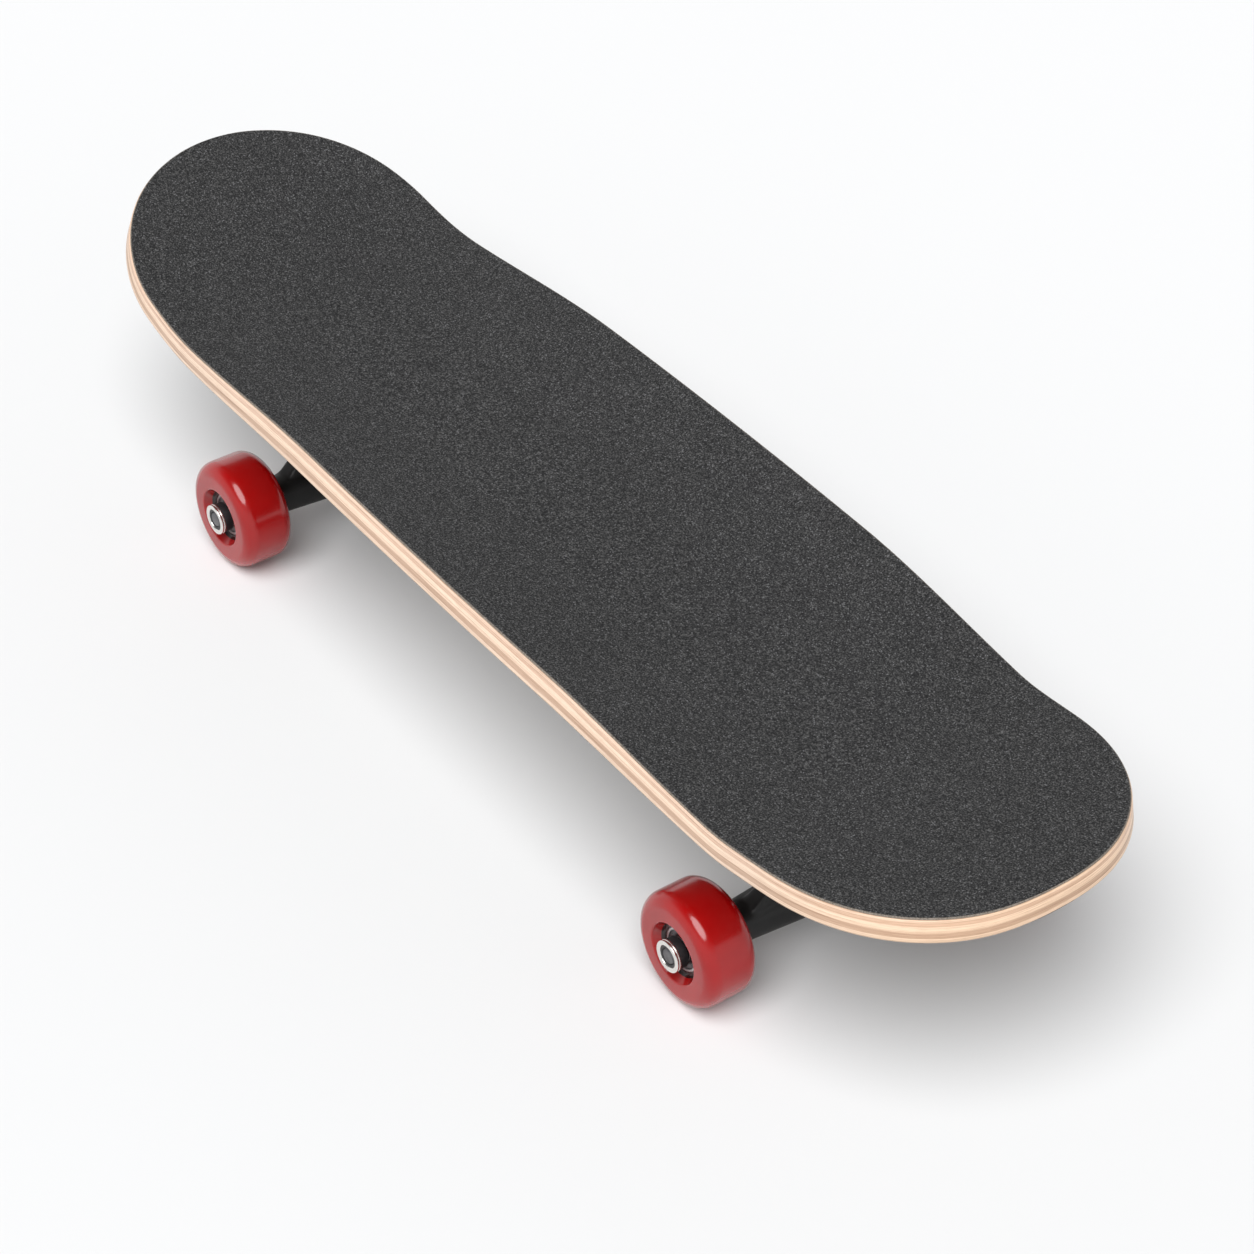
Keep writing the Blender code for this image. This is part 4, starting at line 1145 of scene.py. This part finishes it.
def make_truck(label, meshes, materials):
    mount = truck_matrix(label)
    kingpin = mount @ KINGPIN_AXIS
    deck, truck = "deck", f"{label}_truck"
    piece = placer(label, meshes, materials, mount)
    piece("riser", "riser", deck, "riser_rubber", ["riser_pad"])
    piece("base_casting", "baseplate", deck, "black_coated_alloy", ["baseplate"])
    piece("pivot_bush", "pivot_cup", deck, "bushing_urethane", ["pivot_cup"], mount @ STEERING_AXIS)
    piece("king_bolt", "kingpin", deck, "zinc_steel", ["kingpin"], kingpin)
    piece("king_locknut", "kingpin_nut", deck, "zinc_steel", ["kingpin_nut"], kingpin)
    piece("king_locknut_insert", "kingpin_insert", deck, None, [], kingpin, "nylon")
    for side in ("board_side", "road_side"):
        piece(f"{side}_barrel", f"{side}_bushing", deck, "bushing_urethane", [f"{side}_bushing"], kingpin)
        piece(f"{side}_cup_washer", f"{side}_washer", deck, "zinc_steel", [f"{side}_washer"], kingpin)
    for number, (x, y) in enumerate(bolt_places(), start=1):
        place = mount @ Matrix.Translation((x, y, 0))
        piece(f"bolt_{number}", "bolt", deck, "black_steel", [f"mounting_bolt_{number}"], place)
        piece(f"locknut_{number}", "locknut", deck, "zinc_steel", [], place)
        piece(f"locknut_insert_{number}", "lock_insert", deck, None, [], place, "nylon")
    piece("hanger_casting", "hanger", truck, "black_coated_alloy", ["hanger"])
    piece("axle_rod", "axle", truck, "steel", ["axle"], mount, "axle_end")


# Wheels


def wheel_profile():
    """The outer half from the tread to the bearing's stop, then its mirror image."""
    half = [(WHEEL_RADIUS, TREAD_HALF_WIDTH / 2)]
    for step in range(SHOULDER_STEPS + 1):
        angle = step / SHOULDER_STEPS * pi / 2
        radius = WHEEL_RADIUS - SHOULDER_DROP * (1 - cos(angle))
        half.append((radius, TREAD_HALF_WIDTH + (WHEEL_HALF_WIDTH - TREAD_HALF_WIDTH) * sin(angle)))
    half.append(((MOUTH_RADIUS + MOUTH_LIP + half[-1][0]) / 2, WHEEL_HALF_WIDTH))
    for step in range(MOUTH_STEPS + 1):
        angle = step / MOUTH_STEPS * pi / 2
        radius = MOUTH_RADIUS + MOUTH_LIP * (1 - sin(angle))
        half.append((radius, WHEEL_HALF_WIDTH - MOUTH_LIP * (1 - cos(angle))))
    face = BEARING_SPACING / 2 + BEARING_WIDTH
    stop = BEARING_SPACING / 2 - GAP
    half += [(RECESS_RADIUS + GAP, face + GAP), (RECESS_RADIUS, face - SLIP), (BEARING_RADIUS, face - SLIP)]
    half += [(BEARING_RADIUS, stop), (BEARING_RADIUS - 0.0012, stop)]
    return half + [(radius, -height) for radius, height in reversed(half)]


def groove(radius, outward):
    """Points down the ball groove of a race whose land has this radius, from its upper to its lower edge."""
    size = BALL_RADIUS * GROOVE_PLAY
    reach = sqrt(size**2 - (BALL_PITCH_RADIUS - radius) ** 2)
    path = []
    for step in range(GROOVE_STEPS + 1):
        height = reach * (1 - 2 * step / GROOVE_STEPS)
        bulge = sqrt(size**2 - height**2)
        path.append((BALL_PITCH_RADIUS + outward * bulge, height))
    return path


def outer_race_profile():
    half = BEARING_WIDTH / 2
    land = OUTER_LAND_RADIUS
    seat = land + 0.0006
    rim = BEARING_RADIUS - 0.00005
    inner = [(seat, half), (seat, half - 0.0010), (land, half - 0.0010)]
    outer = rounded([(seat, -half, 0), (rim, -half, SOFT_EDGE), (rim, half, SOFT_EDGE), (seat, half, 0)])
    return outer[1:-1] + inner + groove(land, 1) + [(r, -z) for r, z in reversed(inner)]


def inner_race_profile():
    half = BEARING_WIDTH / 2
    bore = AXLE_RADIUS + 0.00005
    land = INNER_LAND_RADIUS
    outer = groove(land, -1)
    ends = soft_ring(bore, land, -half, half, PLAIN_EDGE)
    middle = len(ends) // 2
    return ends[:middle] + outer[::-1] + ends[middle:]


def shield_profile():
    """A pressed disc with a raised step, just inside the bearing's face."""
    top = BEARING_WIDTH / 2 - 0.0003
    skin = 0.0003
    upper = [(0.0063, top - 0.0002), (0.0070, top - 0.0002), (0.0073, top), (0.0089, top)]
    upper += [(0.0092, top - 0.00025), (0.0096, top - 0.00025)]
    return [(r, z - skin) for r, z in upper] + upper[::-1]


def add_balls(bm, count, ring_radius, z, radius, first=0.0, segments=(20, 12)):
    """Balls set evenly round a ring, the first of them this share of a step along it."""
    for index in range(count):
        angle = 2 * pi * (index + first) / count
        place = Matrix.Translation((ring_radius * cos(angle), ring_radius * sin(angle), z))
        round_about, up = segments
        bmesh.ops.create_uvsphere(bm, u_segments=round_about, v_segments=up, radius=radius, matrix=place)


def shield_mesh():
    def pits(bm):
        add_balls(bm, DIMPLES, DIMPLE_RING, BEARING_WIDTH / 2 + SLIP, DIMPLE_RADIUS, 0.5, (16, 8))

    body = solid(lambda bm: add_turned(bm, shield_profile(), ROUND_FACETS))
    return finished(cut_or_join(body, solid(pits), "DIFFERENCE"), "shield")


def balls_mesh():
    bm = bmesh.new()
    add_balls(bm, BALLS, BALL_PITCH_RADIUS, 0, BALL_RADIUS)
    return finish_mesh(mesh_from(bm, "bearing_balls"))


def cage_mesh():
    """A crown cage: a thin ring behind the balls whose fingers reach between them."""

    def crown(bm):
        add_turned(bm, soft_ring(*CAGE_RADII, *CAGE_LEVELS, FINE_EDGE), CAGE_FACETS)

    def pockets(bm):
        add_balls(bm, BALLS, BALL_PITCH_RADIUS, GAP, BALL_RADIUS + CAGE_PLAY)

    return finished(cut_or_join(solid(crown), solid(pockets), "DIFFERENCE"), "cage")


def nut_levels():
    """Where the axle nut starts, where its bright collar starts, and where both end."""
    start = BEARING_SPACING / 2 + BEARING_WIDTH + SPEED_RING_THICKNESS + 2 * GAP
    end = AXLE_NUT_END_Y - WHEEL_Y
    return start, end - COLLAR_LENGTH, end


def nut_body_profile():
    start, shoulder, _ = nut_levels()
    bore = AXLE_RADIUS + SLIP
    radius = AXLE_NUT_RADIUS
    return rounded([
        (bore, start, FINE_EDGE), (radius - 0.0003, start, 0.0004), (radius - 0.0003, shoulder - 0.0001, 0),
        (COLLAR_BORE + 0.0002, shoulder - 0.0001, 0), (bore, shoulder - 0.0001, 0),
    ])


def collar_profile():
    """A bright ring with a groove round its side and a bevelled mouth."""
    _, low, high = nut_levels()
    radius = AXLE_NUT_RADIUS
    middle = low + (high - low) * 0.42
    return rounded([
        (COLLAR_BORE, low, FINE_EDGE), (radius, low, PLAIN_EDGE), (radius, middle - 0.0002, 0.0001),
        (radius - 0.0003, middle, 0.0001), (radius, middle + 0.0002, 0.0001), (radius, high, SOFT_EDGE),
        (COLLAR_BORE + 0.0004, high, FINE_EDGE), (COLLAR_BORE, high - 0.0005, FINE_EDGE),
    ])


def nut_insert_profile():
    """The black locking insert between the collar and the axle's end."""
    _, low, high = nut_levels()
    bore = AXLE_RADIUS + SLIP
    top = high - 0.0004
    return rounded([
        (bore, low, 0.0001), (COLLAR_BORE - 0.0001, low, 0.0001), (COLLAR_BORE - 0.0001, top, PLAIN_EDGE),
        (bore, top - 0.0004, PLAIN_EDGE),
    ])


def make_wheel_meshes():
    shaft = AXLE_RADIUS + SLIP
    ring_low = BEARING_SPACING / 2 + BEARING_WIDTH + GAP
    ring_high = ring_low + SPEED_RING_THICKNESS
    spacer_end = BEARING_SPACING / 2 - GAP
    tyre = turned("tyre", wheel_profile(), WHEEL_FACETS)
    meshes = {"tyre": tyre, "shield": shield_mesh(), "balls": balls_mesh(), "cage": cage_mesh()}
    profiles = {
        "outer_race": outer_race_profile(),
        "inner_race": inner_race_profile(),
        "speed_ring": soft_ring(shaft, SPEED_RING_RADIUS, ring_low, ring_high, SLIP),
        "spacer": soft_ring(shaft, SPACER_RADIUS, -spacer_end, spacer_end, PLAIN_EDGE),
        "nut_body": nut_body_profile(),
        "nut_collar": collar_profile(),
        "nut_insert": nut_insert_profile(),
    }
    return meshes | {name: turned(name, profile) for name, profile in profiles.items()}


def make_wheel(label, side_name, meshes, materials):
    hub = hub_matrix(label, SIDES[side_name])
    prefix = f"{label}_{side_name}"
    wheel, truck = f"{prefix}_wheel", f"{label}_truck"
    piece = placer(prefix, meshes, materials, hub)
    piece("tyre", "tyre", wheel, "urethane_red", ["wheel"])
    for place, sign in (("outboard", 1), ("inboard", -1)):
        flip = Matrix.Rotation(0 if sign > 0 else pi, 4, "X")
        bearing = hub @ Matrix.Translation((0, 0, sign * (BEARING_SPACING + BEARING_WIDTH) / 2)) @ flip
        piece(f"{place}_race_outer", "outer_race", wheel, "steel", [f"{place}_outer_race"], bearing)
        piece(f"{place}_shield", "shield", wheel, "steel", [], bearing, "shield")
        piece(f"{place}_balls", "balls", wheel, "steel", [], bearing)
        piece(f"{place}_cage", "cage", wheel, None, [], bearing, "black_nylon")
        piece(f"{place}_race_inner", "inner_race", truck, "steel", [f"{place}_inner_race"], bearing)
        nodes = ["speed_ring"] if place == "outboard" else []
        piece(f"{place}_speed_washer", "speed_ring", truck, "black_steel", nodes, hub @ flip)
    piece("spacer", "spacer", truck, "steel", [])
    piece("nut_body", "nut_body", truck, "black_steel", [])
    piece("nut_collar", "nut_collar", truck, "zinc_steel", ["axle_nut"])
    piece("nut_insert", "nut_insert", truck, None, [], hub, "black_nylon")


# Studio


def make_floor():
    bm = bmesh.new()
    bmesh.ops.create_grid(bm, x_segments=1, y_segments=1, size=FLOOR_REACH)
    mesh = bpy.data.meshes.new("floor")
    bm.to_mesh(mesh)
    bm.free()
    sockets = {"Base Color": FLOOR_COLOUR, "Roughness": 0.9, "Specular IOR Level": 0.1}
    material, _, _ = new_material("studio_floor", sockets)
    mesh.materials.append(material)
    obj = bpy.data.objects.new("studio_floor", mesh)
    scene.collection.objects.link(obj)


def make_light():
    """One big soft light high on the camera's side, in a room that is white low down and dim overhead."""
    key = bpy.data.lights.new("key", "SUN")
    key.energy = KEY_STRENGTH
    key.angle = KEY_ANGLE
    lamp = bpy.data.objects.new("key", key)
    lamp.rotation_mode = "QUATERNION"
    lamp.rotation_quaternion = Vector(KEY_FROM).to_track_quat("Z", "Y")
    scene.collection.objects.link(lamp)
    world = bpy.data.worlds.new("studio")
    world.use_nodes = True
    tree = world.node_tree
    direction = add_node(tree, "TexCoord").outputs["Generated"]
    tree.links.new(ramp(tree, part_of(tree, direction, 2), ROOM_GLOW), tree.nodes["Background"].inputs[0])
    scene.world = world


def make_camera():
    level = Vector((cos(CAMERA_AZIMUTH), sin(CAMERA_AZIMUTH), 0))
    ahead = Vector((-level.y, level.x, 0))
    back = Vector((0, 0, sin(CAMERA_ELEVATION))) - cos(CAMERA_ELEVATION) * ahead
    upright = back.cross(level)
    right = cos(CAMERA_ROLL) * level + sin(CAMERA_ROLL) * upright
    up = cos(CAMERA_ROLL) * upright - sin(CAMERA_ROLL) * level
    data = bpy.data.cameras.new("camera")
    data.sensor_width = SENSOR_WIDTH
    data.lens = LENS
    camera = bpy.data.objects.new("camera", data)
    aim = Vector((BOARD_SHIFT, 0, CAMERA_AIM_Z))
    place = aim + CAMERA_DISTANCE * back + CAMERA_RIGHT * right - CAMERA_DOWN * up
    axes = Matrix((right, up, back)).transposed().to_4x4()
    camera.matrix_world = Matrix.Translation(place) @ axes
    scene.collection.objects.link(camera)
    scene.camera = camera


def main():
    scene.view_settings.view_transform = "Standard"
    make_camera()
    make_floor()
    make_light()
    materials = make_materials()
    make_board(materials)
    truck_meshes = make_truck_meshes()
    wheel_meshes = make_wheel_meshes()
    for label in TRUCKS:
        make_truck(label, truck_meshes, materials)
        for side_name in SIDES:
            make_wheel(label, side_name, wheel_meshes, materials)


main()
bpy.context.view_layer.update()
